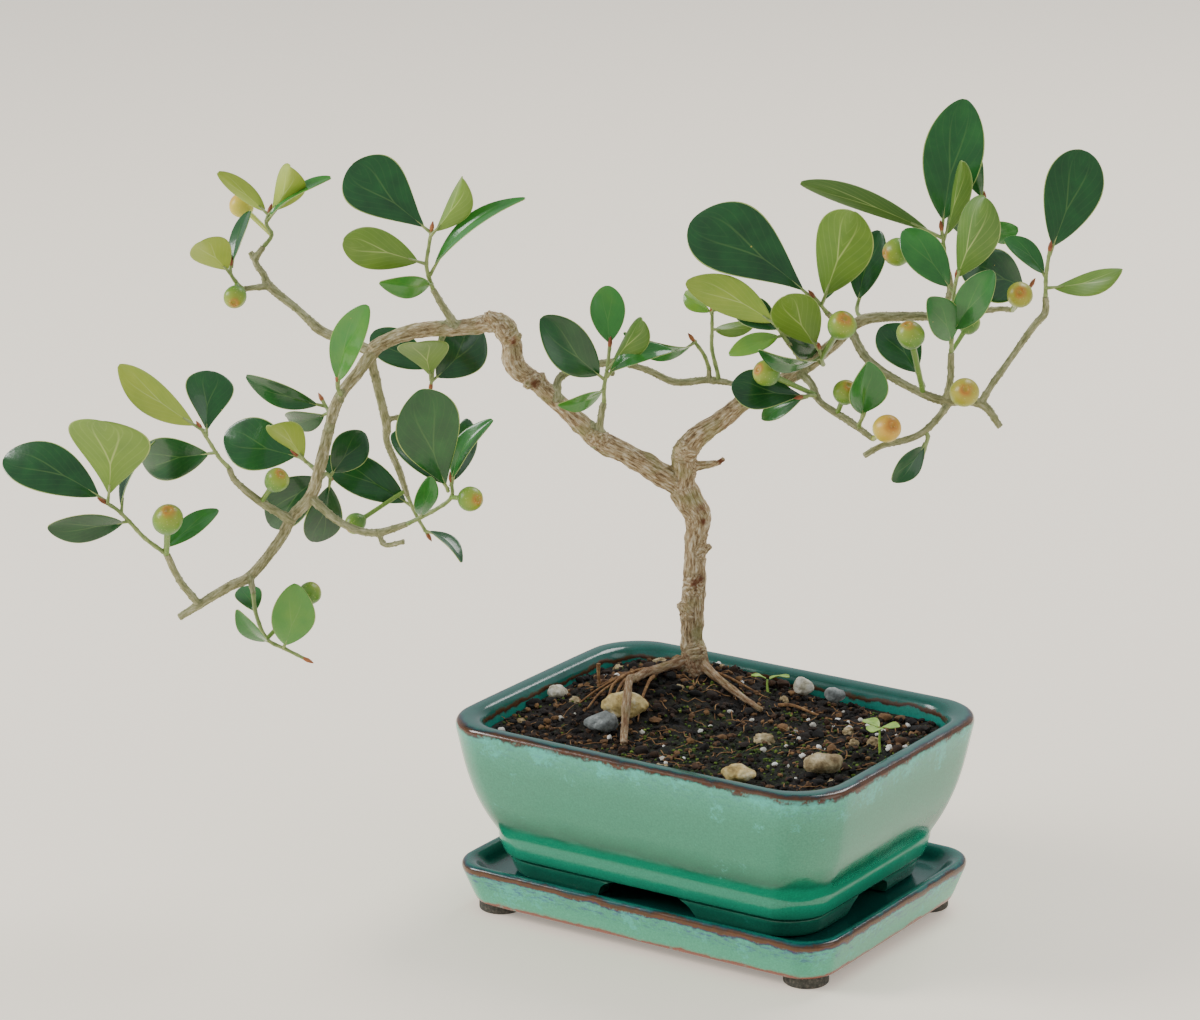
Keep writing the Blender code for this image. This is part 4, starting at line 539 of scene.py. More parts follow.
def leaf_looks():
    """Leathery fig leaves: waxy and glossy above, dull olive with forked pale veins and black
    glands beneath, with a thin pale edge.  "age" is 0 on an old dark leaf and 1 on a new one."""
    looks = []
    for name, stops, vein, shine in (
            ("leaf_upper_side", ((0.0, "#0F3517"), (0.2, "#1F5A24"), (0.45, "#3A8432"),
                                 (0.7, "#6B9A30"), (1.0, "#A6BA3C")), "#7FA653", 0.24),
            ("leaf_under_side", ((0.0, "#3C6028"), (0.4, "#557A2C"), (0.7, "#7A9A34"),
                                 (1.0, "#A9B944")), "#C3D27E", 0.42)):
        upper = name == "leaf_upper_side"
        look, tree, shader = new_material(name, roughness=shine, ior=1.45,
                                          Coat_Weight=0.25 if upper else 0.0)
        place = add(tree, "TexCoord").outputs["Object"]
        spot = add(tree, "UVMap", uv_map="UVMap").outputs["UV"]
        parts = add(tree, "SeparateXYZ", {0: spot})
        age = add(tree, "Attribute", attribute_name="age").outputs["Fac"]
        blotch = add(tree, "TexNoise", {"Vector": place, "Scale": 130.0, "Detail": 4.0})
        shift = add(tree, "Math", {0: blotch.outputs["Fac"], 1: 0.26, 2: -0.13},
                    operation="MULTIPLY_ADD").outputs[0]
        age = add(tree, "Math", {0: age, 1: shift}, operation="ADD").outputs[0]
        colour = add(tree, "ValToRGB", {"Fac": age}, stops=stops).outputs["Color"]
        # The midrib runs half way and then forks.
        side = add(tree, "Math", {0: parts.outputs[0], 1: 0.5}, operation="SUBTRACT")
        side = add(tree, "Math", {0: side.outputs[0]}, operation="ABSOLUTE").outputs[0]
        past = add(tree, "Math", {0: parts.outputs[1], 1: 0.42}, operation="SUBTRACT").outputs[0]
        past = add(tree, "Math", {0: past, 1: 0.0}, operation="MAXIMUM").outputs[0]
        fork = add(tree, "Math", {0: past, 1: 0.42}, operation="MULTIPLY").outputs[0]
        off = add(tree, "Math", {0: side, 1: fork}, operation="SUBTRACT").outputs[0]
        off = add(tree, "Math", {0: off}, operation="ABSOLUTE").outputs[0]
        line = add(tree, "MapRange", {"Value": off, "From Min": 0.004, "From Max": 0.020,
                                      "To Min": 0.20 if upper else 0.55, "To Max": 0.0})
        fade = add(tree, "MapRange", {"Value": parts.outputs[1], "From Min": 0.55,
                                      "From Max": 0.92, "To Min": 1.0, "To Max": 0.1})
        line = add(tree, "Math", {0: line.outputs[0], 1: fade.outputs[0]}, operation="MULTIPLY")
        colour = add(tree, "Mix", {0: line.outputs[0], 6: colour, 7: linear(vein)},
                     data_type="RGBA").outputs[2]
        # Side veins, 3 to 6 mm apart, that bend towards the tip.
        bend = add(tree, "Math", {0: side, 1: -1.1, 2: parts.outputs[1]},
                   operation="MULTIPLY_ADD").outputs[0]
        ribs = add(tree, "Math", {0: bend, 1: 46.0}, operation="MULTIPLY").outputs[0]
        ribs = add(tree, "Math", {0: ribs}, operation="SINE").outputs[0]
        ribs = add(tree, "MapRange", {"Value": ribs, "From Min": 0.80, "From Max": 1.0,
                                      "To Max": 0.035 if upper else 0.10}).outputs[0]
        colour = add(tree, "Mix", {0: ribs, 6: colour, 7: linear(vein)},
                     data_type="RGBA").outputs[2]
        # Above, wax dots up to 0.7 mm across; below, a black gland here and there.
        dots = add(tree, "TexVoronoi", {"Vector": place, "Scale": 200.0 if upper else 75.0})
        pick = add(tree, "SeparateColor", {0: dots.outputs["Color"]}).outputs[0]
        limit = add(tree, "MapRange", {"Value": pick, "From Min": 0.80 if upper else 0.86,
                                       "From Max": 1.0, "To Max": 0.07 if upper else 0.055})
        dark = add(tree, "Math", {0: dots.outputs["Distance"], 1: limit.outputs[0]},
                   operation="LESS_THAN").outputs[0]
        colour = add(tree, "Mix", {0: dark, 6: colour, 7: linear("#A79A4A" if upper else "#1B1A10")},
                     data_type="RGBA").outputs[2]
        tree.links.new(colour, shader.inputs["Base Color"])
        pores = add(tree, "TexNoise", {"Vector": place, "Scale": 700.0, "Detail": 2.0})
        relief = add(tree, "Bump", {"Height": pores.outputs["Fac"], "Distance": 0.0002,
                                    "Strength": 0.25}).outputs["Normal"]
        tree.links.new(relief, shader.inputs["Normal"])
        looks.append(look)
    for name, code, other in (("leaf_edge", "#8FA858", "#A8B868"), ("green_twig", "#748A48", "#9AA86A"),
                              ("bud_scale", "#7E3F22", "#A8683A")):
        look, tree, shader = new_material(name, roughness=0.45)
        place = add(tree, "TexCoord").outputs["Object"]
        blotch = add(tree, "TexNoise", {"Vector": place, "Scale": 350.0, "Detail": 3.0})
        colour = add(tree, "ValToRGB", {"Fac": blotch.outputs["Fac"]},
                     stops=((0.35, code), (0.65, other)))
        tree.links.new(colour.outputs["Color"], shader.inputs["Base Color"])
        looks.append(look)
    return looks


def fig_skin():
    """Ripening fig skin: green with pale dots, yellow to orange-brown round the eye.  "up" is the
    height over the fig's middle in radii, and "ripe" turns the whole fruit yellow."""
    look, tree, shader = new_material("fig_skin", roughness=0.36, ior=1.45)
    place = add(tree, "TexCoord").outputs["Object"]
    up = add(tree, "Attribute", attribute_name="up").outputs["Fac"]
    ripe = add(tree, "Attribute", attribute_name="ripe").outputs["Fac"]
    blotch = add(tree, "TexNoise", {"Vector": place, "Scale": 260.0, "Detail": 4.0})
    shift = add(tree, "Math", {0: blotch.outputs["Fac"], 1: 0.36, 2: -0.18},
                operation="MULTIPLY_ADD").outputs[0]
    level = add(tree, "Math", {0: up, 1: shift}, operation="ADD").outputs[0]
    level = add(tree, "MapRange", {"Value": level, "From Min": -1.5, "From Max": 1.1}).outputs[0]
    green = add(tree, "ValToRGB", {"Fac": level},
                stops=((0.0, "#6E8F3E"), (0.35, "#4E7A30"), (0.64, "#6F9636"), (0.88, "#93A437"),
                       (0.95, "#B98430"), (1.0, "#8A461A"))).outputs["Color"]
    gold = add(tree, "ValToRGB", {"Fac": level},
               stops=((0.0, "#A9B44A"), (0.5, "#D6C548"), (0.85, "#E0A83E"),
                      (1.0, "#A65A22"))).outputs["Color"]
    colour = add(tree, "Mix", {0: ripe, 6: green, 7: gold}, data_type="RGBA").outputs[2]
    dots = add(tree, "TexVoronoi", {"Vector": place, "Scale": 900.0})    # dots 1.1 mm apart
    dots = add(tree, "MapRange", {"Value": dots.outputs["Distance"], "From Min": 0.10,
                                  "From Max": 0.24, "To Min": 0.5, "To Max": 0.0}).outputs[0]
    colour = add(tree, "Mix", {0: dots, 6: colour, 7: linear("#C9CE7A")},
                 data_type="RGBA").outputs[2]
    tree.links.new(colour, shader.inputs["Base Color"])
    return look


def grainy(name, stops, scale, roughness=0.9, depth=0.0006, tone=False):
    """A broken natural surface: stone, soil, moss or fibre.  scale is one over the grain size in
    metres.  tone adds each grain's own shade from its "tone" attribute."""
    look, tree, shader = new_material(name, roughness=roughness)
    place = add(tree, "TexCoord").outputs["Object"]
    mix = add(tree, "TexNoise", {"Vector": place, "Scale": scale, "Detail": 6.0,
                                 "Roughness": 0.68}).outputs["Fac"]
    share = mix
    if tone:
        own = add(tree, "Attribute", attribute_name="tone").outputs["Fac"]
        share = add(tree, "Mix", {0: 0.65, 2: mix, 3: own}).outputs[0]
    colour = add(tree, "ValToRGB", {"Fac": share}, stops=stops)
    tree.links.new(colour.outputs["Color"], shader.inputs["Base Color"])
    relief = add(tree, "Bump", {"Height": mix, "Distance": depth,
                                "Strength": 0.7}).outputs["Normal"]
    tree.links.new(relief, shader.inputs["Normal"])
    return look


def soil_look():
    """Damp peat: near black between brown crumbs, with a green film of moss in patches."""
    look, tree, shader = new_material("damp_peat", roughness=0.92)
    place = add(tree, "TexCoord").outputs["Object"]
    crumb = add(tree, "TexNoise", {"Vector": place, "Scale": 420.0, "Detail": 7.0,
                                   "Roughness": 0.75}).outputs["Fac"]
    peat = add(tree, "ValToRGB", {"Fac": crumb},
               stops=((0.36, "#070504"), (0.52, "#181009"), (0.62, "#342213"),
                      (0.74, "#664A30"))).outputs["Color"]
    green = add(tree, "ValToRGB", {"Fac": crumb},
                stops=((0.38, "#080B05"), (0.54, "#18210A"), (0.68, "#43601A"),
                       (0.80, "#8DA340"))).outputs["Color"]
    moss = add(tree, "Attribute", attribute_name="moss").outputs["Fac"]
    colour = add(tree, "Mix", {0: moss, 6: peat, 7: green}, data_type="RGBA").outputs[2]
    tree.links.new(colour, shader.inputs["Base Color"])
    relief = add(tree, "Bump", {"Height": crumb, "Distance": 0.0012,
                                "Strength": 0.9}).outputs["Normal"]
    tree.links.new(relief, shader.inputs["Normal"])
    return look


def clear_selection():
    if bpy.context.mode != "OBJECT":
        bpy.ops.object.mode_set(mode="OBJECT")
    bpy.ops.object.select_all(action="DESELECT")


def choose(*pieces):
    clear_selection()
    for piece in pieces:
        piece.select_set(True)
    bpy.context.view_layer.objects.active = pieces[0]


def clothe(piece, *looks):
    """Gives a piece its materials in place of any that it has."""
    piece.data.materials.clear()
    for look in looks:
        piece.data.materials.append(look)


def bring_in(name, data):
    piece = bpy.data.objects.new(name, data)
    bpy.context.scene.collection.objects.link(piece)
    return piece


def apply_modifier(piece, kind, **settings):
    modifier = piece.modifiers.new(kind.lower(), kind)
    for key, value in settings.items():
        setattr(modifier, key, value)
    choose(piece)
    bpy.ops.object.modifier_apply(modifier=modifier.name)


def join(name, pieces):
    choose(*pieces)
    if len(pieces) > 1:
        bpy.ops.object.join()
    joined = bpy.context.object
    joined.name = name
    return joined


def smooth(piece, angle=50.0):
    choose(piece)
    bpy.ops.object.shade_smooth_by_angle(angle=radians(angle))


def settle(piece, place, slot, *nodes):
    """Moves a finished piece's mesh to its place, on the part, standing for its nodes."""
    piece.data.transform(place)
    piece.data.update()
    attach(piece, "root")
    if nodes:
        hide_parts(*nodes)


def point_values(piece, name, values, kind="FLOAT"):
    """Stores one number, or one vector, for each of the piece's points."""
    layer = piece.data.attributes.get(name) or piece.data.attributes.new(name, kind, "POINT")
    if kind == "FLOAT":
        layer.data.foreach_set("value", values)
    else:
        layer.data.foreach_set("vector", [part for value in values for part in value])


def turn_outwards(piece):
    choose(piece)
    bpy.ops.object.mode_set(mode="EDIT")
    bpy.ops.mesh.select_all(action="SELECT")
    bpy.ops.mesh.normals_make_consistent(inside=False)
    bpy.ops.object.mode_set(mode="OBJECT")


def mark_ring(piece, value):
    """Gives the selected points of the piece in edit mode their "run"."""
    shell = bmesh.from_edit_mesh(piece.data)
    layer = shell.verts.layers.float.get("run") or shell.verts.layers.float.new("run")
    for vert in shell.verts:
        if vert.select:
            vert[layer] = value
    bmesh.update_edit_mesh(piece.data)


def drawn_solid(name, length, width, corner, shape, top=0):
    """A rounded rectangle drawn up through (inset, height) levels into one closed solid.
    "run" holds the way over the wall from the level of the number top."""
    clear_selection()
    bpy.ops.mesh.primitive_plane_add(size=2.0)
    piece = bpy.context.object
    piece.name = name
    inset, level = shape[0]
    half_x, half_y = length / 2 - inset, width / 2 - inset
    bpy.ops.object.mode_set(mode="EDIT")
    bpy.ops.transform.resize(value=(half_x, half_y, 1.0))
    bpy.ops.transform.translate(value=(0.0, 0.0, level))
    bpy.ops.mesh.bevel(offset=corner - 0.3 * inset, offset_type="OFFSET", segments=7,
                       affect="VERTICES")
    runs = [0.0]
    for (inset, level), (inset_before, before) in zip(shape[1:], shape):
        runs.append(runs[-1] + hypot(inset - inset_before, level - before))
    mark_ring(piece, runs[0] - runs[top])
    for (inset, level), (_, before), run in zip(shape[1:], shape, runs[1:]):
        new_x, new_y = length / 2 - inset, width / 2 - inset
        bpy.ops.mesh.extrude_region_move(TRANSFORM_OT_translate={"value": (0, 0, level - before)})
        bpy.ops.transform.resize(value=(new_x / half_x, new_y / half_y, 1.0),
                                 center_override=(0.0, 0.0, 0.0))
        mark_ring(piece, run - runs[top])
        half_x, half_y = new_x, new_y
    bpy.ops.object.mode_set(mode="OBJECT")
    turn_outwards(piece)
    apply_modifier(piece, "SUBSURF", levels=2, render_levels=2)
    return piece


def cut_with(piece, cutter, operation="DIFFERENCE"):
    apply_modifier(piece, "BOOLEAN", operation=operation, object=cutter)
    bpy.data.objects.remove(cutter, do_unlink=True)


def build_pot():
    look = glaze("sea_green_glaze", (-62.0, 30.0), (
        (0.0, "#1F5546"), (0.13, "#229070"), (0.20, "#1E8B6A"), (0.235, "#12664C"),
        (0.27, "#207658"), (0.34, "#3A8C6D"), (0.50, "#3E8E70"), (0.585, "#449A7D"),
        (0.628, "#48A88F"), (0.634, "#2C1808"), (0.642, "#5C3410"), (0.657, "#38200C"),
        (0.663, "#072B38"), (0.672, "#04584C"), (0.72, "#045044"), (0.745, "#0C6458"),
        (0.752, "#5B3A22"), (0.762, "#3F2A20"), (0.768, "#238878"), (0.84, "#2E9683"),
        (1.0, "#1E7468")), (-12.0, -6.0, -2.6, 0.25))
    pot = drawn_solid("glazed_pot", POT_LENGTH, POT_WIDTH, POT_CORNER, POT_SHAPE, top=POT_RIM)
    feet = drawn_solid("pot_feet", POT_LENGTH, POT_WIDTH, POT_CORNER, FOOT_SHAPE)
    cut_with(feet, drawn_solid("foot_hollow", POT_LENGTH, POT_WIDTH, POT_CORNER, FOOT_HOLLOW))
    for half, taper, along_y in FOOT_GAPS:
        clear_selection()
        bpy.ops.mesh.primitive_cube_add(size=2.0)
        cutter = bpy.context.object
        bpy.ops.object.mode_set(mode="EDIT")
        reach = (1.0 if along_y else 1.2) * POT_LENGTH
        bpy.ops.transform.resize(value=(half, reach, GAP_HALF_HEIGHT) if along_y
                                 else (reach, half, GAP_HALF_HEIGHT))
        bpy.ops.transform.translate(value=(0.0, 0.0, GAP_MIDDLE))
        bpy.ops.object.mode_set(mode="OBJECT")
        for vert in cutter.data.vertices:
            if vert.co.z > GAP_MIDDLE:
                vert.co.x *= (half - taper) / half if along_y else 1.0
                vert.co.y *= 1.0 if along_y else (half - taper) / half
        apply_modifier(cutter, "BEVEL", width=GAP_ROUNDING, segments=6, limit_method="ANGLE")
        cut_with(feet, cutter)
    for x, radius in DRAIN_HOLES:
        clear_selection()
        bpy.ops.mesh.primitive_cylinder_add(vertices=48, radius=radius, depth=12.0,
                                            location=(x, 0.0, 24.0))
        cut_with(pot, bpy.context.object)
    point_values(feet, "run", [POT_FEET_RUN] * len(feet.data.vertices))
    pot = join("glazed_pot", [pot, feet])
    clothe(pot, look, bare_clay())
    for face in pot.data.polygons:
        low = all(pot.data.vertices[index].co.z < FOOT_SOLE for index in face.vertices)
        face.material_index = 1 if low and face.normal.z < -0.5 else 0
    smooth(pot)
    settle(pot, POT_FRAME, "pot_glaze", "pot")


def build_tray():
    look = glaze("sea_green_tray_glaze", (-26.0, 18.0), (
        (0.0, "#3A3832"), (0.17, "#6B4238"), (0.19, "#9A5848"), (0.245, "#8A5040"),
        (0.256, "#6C9A7E"), (0.28, "#4BAC8A"), (0.40, "#46A684"), (0.505, "#46A082"),
        (0.515, "#22305A"), (0.53, "#643A14"), (0.565, "#43280E"), (0.58, "#0C424A"),
        (0.60, "#08685A"), (0.68, "#065C50"), (1.0, "#08483F")), (-10.5, -5.0, -3.0, 0.9))
    tray = drawn_solid("glazed_tray", TRAY_LENGTH, TRAY_WIDTH, TRAY_CORNER, TRAY_SHAPE,
                       top=TRAY_RIM)
    radius, inset, high = TRAY_FOOT
    pieces = [tray]
    for side_x in (-1, 1):
        for side_y in (-1, 1):
            clear_selection()
            bpy.ops.mesh.primitive_cylinder_add(
                vertices=48, radius=radius, depth=high, location=(
                    side_x * (TRAY_LENGTH / 2 - inset), side_y * (TRAY_WIDTH / 2 - inset), high / 2))
            bpy.ops.object.transform_apply(location=True)
            foot = bpy.context.object
            apply_modifier(foot, "BEVEL", width=0.7, segments=3, limit_method="ANGLE")
            point_values(foot, "run", [TRAY_FEET_RUN] * len(foot.data.vertices))
            pieces.append(foot)
    tray = join("glazed_tray", pieces)
    clothe(tray, look, bare_clay())
    run = tray.data.attributes["run"].data
    for face in tray.data.polygons:
        if all(run[index].value < TRAY_GLAZE_END for index in face.vertices):
            face.material_index = 1
    smooth(tray)
    settle(tray, POT_FRAME, "tray_glaze", "drip_tray")


def dress_screens():
    """The drain screens stay as they are, in black polypropylene mesh."""
    look = grainy("black_polypropylene", ((0.3, "#0D0D0D"), (0.7, "#1F1F1F")), 900.0, 0.5, 0.0002)
    for name in ("drain_screen_left", "drain_screen_right"):
        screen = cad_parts[name]
        clothe(screen, look)


def soil_height(x, y):
    """Height of the soil before its crumbs: level at the rim, heaped at the trunk."""
    return SOIL_LEVEL + sum(
        height * exp(-((x - heap_x) ** 2 + (y - heap_y) ** 2) / (2 * spread ** 2))
        for heap_x, heap_y, height, spread in SOIL_HEAPS)


def crumbly_height(x, y):
    """The soil's height with its clods and crumbs."""
    clods = noise.fractal(Vector((x / 9.0, y / 9.0, 0.3)), 1.0, 2.0, 3) * 0.9
    cells = noise.voronoi(Vector((x / 4.2, y / 4.2, 1.7)))[0]
    crumbs = (cells[1] - cells[0]) * 1.5 - 0.5
    fine = noise.noise(Vector((x * 1.1, y * 1.1, 4.0))) * 0.45
    edge = min(1.0, (POT_LENGTH / 2 - SOIL_EDGE - abs(x)) / 5, (POT_WIDTH / 2 - SOIL_EDGE - abs(y)) / 5)
    return soil_height(x, y) + (clods + crumbs + fine) * max(0.15, edge)


def mossy(x, y):
    """How green the soil is: most in front of the middle and along the right end."""
    near = exp(-((x - 12) ** 2 + (y + 18) ** 2) / 900) + 0.8 * exp(-((x - 58) ** 2 + y * y) / 500)
    patch = noise.fractal(Vector((x / 12.0, y / 12.0, 7.0)), 1.0, 2.0, 3)
    return max(0.0, min(1.0, near * 0.75 + patch * 0.8))


def inside_pot(x, y, margin):
    """Whether a place lies on the soil, at least margin from the pot's wall."""
    reach_x = POT_LENGTH / 2 - SOIL_EDGE - margin
    reach_y = POT_WIDTH / 2 - SOIL_EDGE - margin
    corner = POT_CORNER - 4
    off_x = max(0.0, abs(x) - reach_x + corner)
    off_y = max(0.0, abs(y) - reach_y + corner)
    return hypot(off_x, off_y) < corner


def build_soil():
    clear_selection()
    length, width = POT_LENGTH - 2 * SOIL_EDGE, POT_WIDTH - 2 * SOIL_EDGE
    bpy.ops.mesh.primitive_grid_add(x_subdivisions=SOIL_CELLS[0], y_subdivisions=SOIL_CELLS[1],
                                    size=2.0)
    soil = bpy.context.object
    bpy.ops.object.mode_set(mode="EDIT")
    bpy.ops.transform.resize(value=(length / 2, width / 2, 1.0))
    bpy.ops.transform.translate(value=(0.0, 0.0, SOIL_LEVEL))
    bpy.ops.mesh.extrude_region_move(TRANSFORM_OT_translate={"value": (0, 0, -SOIL_DEPTH)})
    bpy.ops.mesh.select_all(action="SELECT")
    bpy.ops.mesh.normals_make_consistent(inside=False)
    bpy.ops.object.mode_set(mode="OBJECT")
    walls = drawn_solid("pot_inside", POT_LENGTH, POT_WIDTH, POT_CORNER,
                        POT_INSIDE)
    cut_with(soil, walls, "INTERSECT")
    moss = []
    for vert in soil.data.vertices:
        if vert.co.z > SOIL_LEVEL - 1:
            vert.co.z = crumbly_height(vert.co.x, vert.co.y)
        moss.append(mossy(vert.co.x, vert.co.y))
    point_values(soil, "moss", moss)
    clothe(soil, soil_look())
    soil.name = "potting_soil"
    smooth(soil, 70.0)
    settle(soil, POT_FRAME, "potting_soil", "soil")


def scatter(name, count, sizes, look, slot, detail, where, seed, sink=0.25, flat=0.7):
    """Copies of one rough grain over the soil, each with a tone of its own."""
    clear_selection()
    bpy.ops.mesh.primitive_ico_sphere_add(subdivisions=detail, radius=0.5)
    grain = bpy.context.object
    corners = [vert.co.copy() for vert in grain.data.vertices]
    faces = [tuple(face.vertices) for face in grain.data.polygons]
    dice = random.Random(seed)
    points, polygons, tones = [], [], []
    while len(tones) < count * len(corners):
        x = dice.uniform(-72, 72)
        y = dice.uniform(-54, 54)
        if not inside_pot(x, y, 0.8) or dice.random() > where(x, y):
            continue
        size = dice.uniform(*sizes)
        spin = Matrix.Rotation(dice.uniform(0, 2 * pi), 3, "Z") @ Matrix.Rotation(
            dice.uniform(-0.6, 0.6), 3, "X")
        stretch = Vector((size * dice.uniform(0.8, 1.5), size, size * dice.uniform(flat, 1.0)))
        middle = Vector((x, y, crumbly_height(x, y) + size * sink))
        tone = dice.random()
        start = len(points)
        for corner in corners:
            rough = corner * dice.uniform(0.72, 1.2)
            points.append(middle + spin @ Vector(a * b for a, b in zip(rough, stretch)))
            tones.append(tone)
        polygons.extend(tuple(start + index for index in face) for face in faces)
    bpy.data.objects.remove(grain, do_unlink=True)
    mesh = bpy.data.meshes.new(name)
    mesh.from_pydata(points, [], polygons)
    piece = bring_in(name, mesh)
    point_values(piece, "tone", tones)
    clothe(piece, look)
    if detail > 1:
        smooth(piece, 60.0)
    settle(piece, POT_FRAME, slot)


def smooth_path(points, radii, step):
    """Places every step along a curve through the points, each with its radius."""
    points = [Vector(point) for point in points]
    ends = [2 * points[0] - points[1]] + points + [2 * points[-1] - points[-2]]
    places = []
    for index in range(len(points) - 1):
        before, first, second, after = ends[index:index + 4]
        count = max(1, round((second - first).length / step))
        for part in range(count):
            t = part / count
            spot = 0.5 * (2 * first + (second - before) * t
                          + (2 * before - 5 * first + 4 * second - after) * t ** 2
                          + (3 * first - before - 3 * second + after) * t ** 3)
            blend = t * t * (3 - 2 * t)
            places.append((spot, radii[index] * (1 - blend) + radii[index + 1] * blend))
    places.append((points[-1], radii[-1]))
    return places


def tubes(name, paths, sides):
    """Round stems along paths of (place, radius), as one mesh of closed tubes."""
    curve = bpy.data.curves.new(name, "CURVE")
    curve.dimensions = "3D"
    curve.bevel_depth = 1.0
    curve.bevel_resolution = sides
    curve.use_fill_caps = True
    for places in paths:
        spline = curve.splines.new("POLY")
        spline.points.add(len(places) - 1)
        for point, (place, radius) in zip(spline.points, places):
            point.co = (*place, 1.0)
            point.radius = radius
    choose(bring_in(name, curve))
    bpy.ops.object.convert(target="MESH")
    bpy.ops.object.mode_set(mode="EDIT")
    bpy.ops.mesh.select_all(action="SELECT")
    bpy.ops.mesh.remove_doubles(threshold=0.001)
    bpy.ops.mesh.normals_make_consistent(inside=False)
    bpy.ops.object.mode_set(mode="OBJECT")
    return bpy.context.object


def tree_to_pot(across, deep):
    turn = radians(TREE_TURN)
    return (TREE_BASE.x + across * cos(turn) - deep * sin(turn),
            TREE_BASE.y + across * sin(turn) + deep * cos(turn))


def wood_paths():
    """Every limb, twig, root and knot as a smooth path in the tree's frame."""
    paths = []
    for name, (points, radii) in WOOD.items():
        paths.append((name, smooth_path(points, radii, 1.1)))
    for name, run in ROOTS.items():
        points = [(across, deep, soil_height(*tree_to_pot(across, deep)) - TREE_BASE.z + up)
                  for across, deep, up, _ in run]
        paths.append((name, smooth_path(points, [item[3] for item in run], 1.1)))
    for number, (first, last, thick, thin) in enumerate(KNOTS):
        paths.append((f"knot_{number}", smooth_path((first, last), (thick, thin), 0.8)))
    return paths


def build_wood():
    """One skin over all the wood, then fibres, lumps and leaf rings raised on it."""
    paths = wood_paths()
    wood = tubes("tree_wood_skin", [places for _, places in paths], 4)
    apply_modifier(wood, "REMESH", mode="VOXEL", voxel_size=WOOD_SKIN)
    samples = []
    for name, places in paths:
        run = 0.0
        for index, (place, radius) in enumerate(places):
            after = places[min(index + 1, len(places) - 1)][0]
            before = places[max(index - 1, 0)][0]
            run += (place - before).length
            ends = index > len(places) - 3 and not name.startswith("root")
            samples.append((place, (after - before).normalized(), radius, run, name, ends))
    tree = KDTree(len(samples))
    for index, sample in enumerate(samples):
        tree.insert(sample[0], index)
    tree.balance()
    cross, along, young, scar, cut = [], [], [], [], []
    moves = []
    for vert in wood.data.vertices:
        place, ahead, radius, run, name, ends = samples[tree.find(vert.co)[1]]
        off = vert.co - place
        forward = off.dot(ahead)
        side = off - ahead * forward
        run += forward
        old = max(0.0, min(1.0, (radius - 1.5) / 1.6))
        if name.startswith(("root", "knot")):
            old = 1.0
        fibre = noise.fractal(Vector((side.x * 1.1, side.y * 1.1, side.z * 1.1 + run * 0.16)),
                              1.0, 2.0, 3)
        lump = noise.noise(vert.co / 4.0) * 0.12 * radius
        ring = 0.0
        if old < 0.9:
            spacing = 6.5 + 1.5 * sin(run * 0.35)
            phase = (run % spacing) - spacing / 2
            ring = 0.24 * exp(-(phase / 0.55) ** 2) * (1 - old)
        moves.append(vert.normal * (fibre * (0.16 + 0.30 * old) + lump * old + ring))
        cross.append(side)
        along.append(run)
        young.append(1.0 - old)
        scar.append(max([0.0] + [min(1.0, 1.6 * (1 - (vert.co - Vector(spot)).length / reach
                                                 + 0.4 * fibre)) for spot, reach in SCARS]))
        if name.startswith("root"):
            scar[-1] = max(scar[-1], 0.45 + 0.3 * fibre)
        cut.append(1.0 if ends and forward > 0.1 and side.length < radius * 0.8
                   and vert.normal.dot(ahead) > 0.6 else 0.0)
    for vert, move in zip(wood.data.vertices, moves):
        vert.co += move
    point_values(wood, "cross", cross, "FLOAT_VECTOR")
    for name, values in (("along", along), ("young", young), ("scar", scar), ("cut", cut)):
        point_values(wood, name, values)
    clothe(wood, bark())
    smooth(wood, 80.0)
    settle(wood, TREE_FRAME, "bark", "tree_wood")


def leaf_frame(base, tip, roll, front):
    """Directions along a leaf, across it and out of its upper side."""
    along = (tip - base).normalized()
    face = (front - along * front.dot(along)).normalized()
    face.rotate(Matrix.Rotation(radians(roll), 3, along))
    return along, along.cross(face), face


def shape_leaf(blank, base, tip, width, roll, kind, age, dice, front=LEAF_FRONT):
    """Bends a copy of the flat blank into one leaf, and returns it with the path of its stalk."""
    base, tip = Vector(base), Vector(tip)
    along, side, face = leaf_frame(base, tip, roll, front)
    length = (tip - base).length
    widest, fullness, arch, lift = LEAF_KINDS[kind]
    leaf = bring_in(kind + "_leaf", blank.data.copy())
    wave, phase = dice.uniform(0.15, 0.45), dice.uniform(0, 2 * pi)
    skew = dice.uniform(-0.05, 0.05)
    curl = dice.uniform(-0.02, 0.05)
    for vert in leaf.data.vertices:
        out, row = vert.co.x, vert.co.y
        share = max(0.0, (row - BLADE_START) / (1 - BLADE_START))
        full = sin(pi * share ** widest) ** fullness if 0 < share < 1 else 0.0
        half = 0.45 + (width / 2 - 0.45) * full
        bend = arch * length * 4 * row * (1 - row) + lift * half * abs(out) ** 1.5
        bend += wave * sin(7 * row + phase + 2 * out) * out * out
        bend -= 0.35 * exp(-(out / 0.12) ** 2) * (1 - row) + curl * length * max(0.0, row - 0.75) ** 2 * 8
        drift = skew * length * sin(pi * row)
        vert.co = (base + along * length * row + side * (half * out + drift) + face * bend)
    point_values(leaf, "age", [age] * len(leaf.data.vertices))
    stalk = []
    for step in range(5):
        row = 0.20 * step / 4
        bend = arch * length * 4 * row * (1 - row) - 0.35
        stalk.append((base + along * length * row + side * skew * length * sin(pi * row)
                      + face * bend, 0.72 - 0.09 * step))
    return leaf, stalk


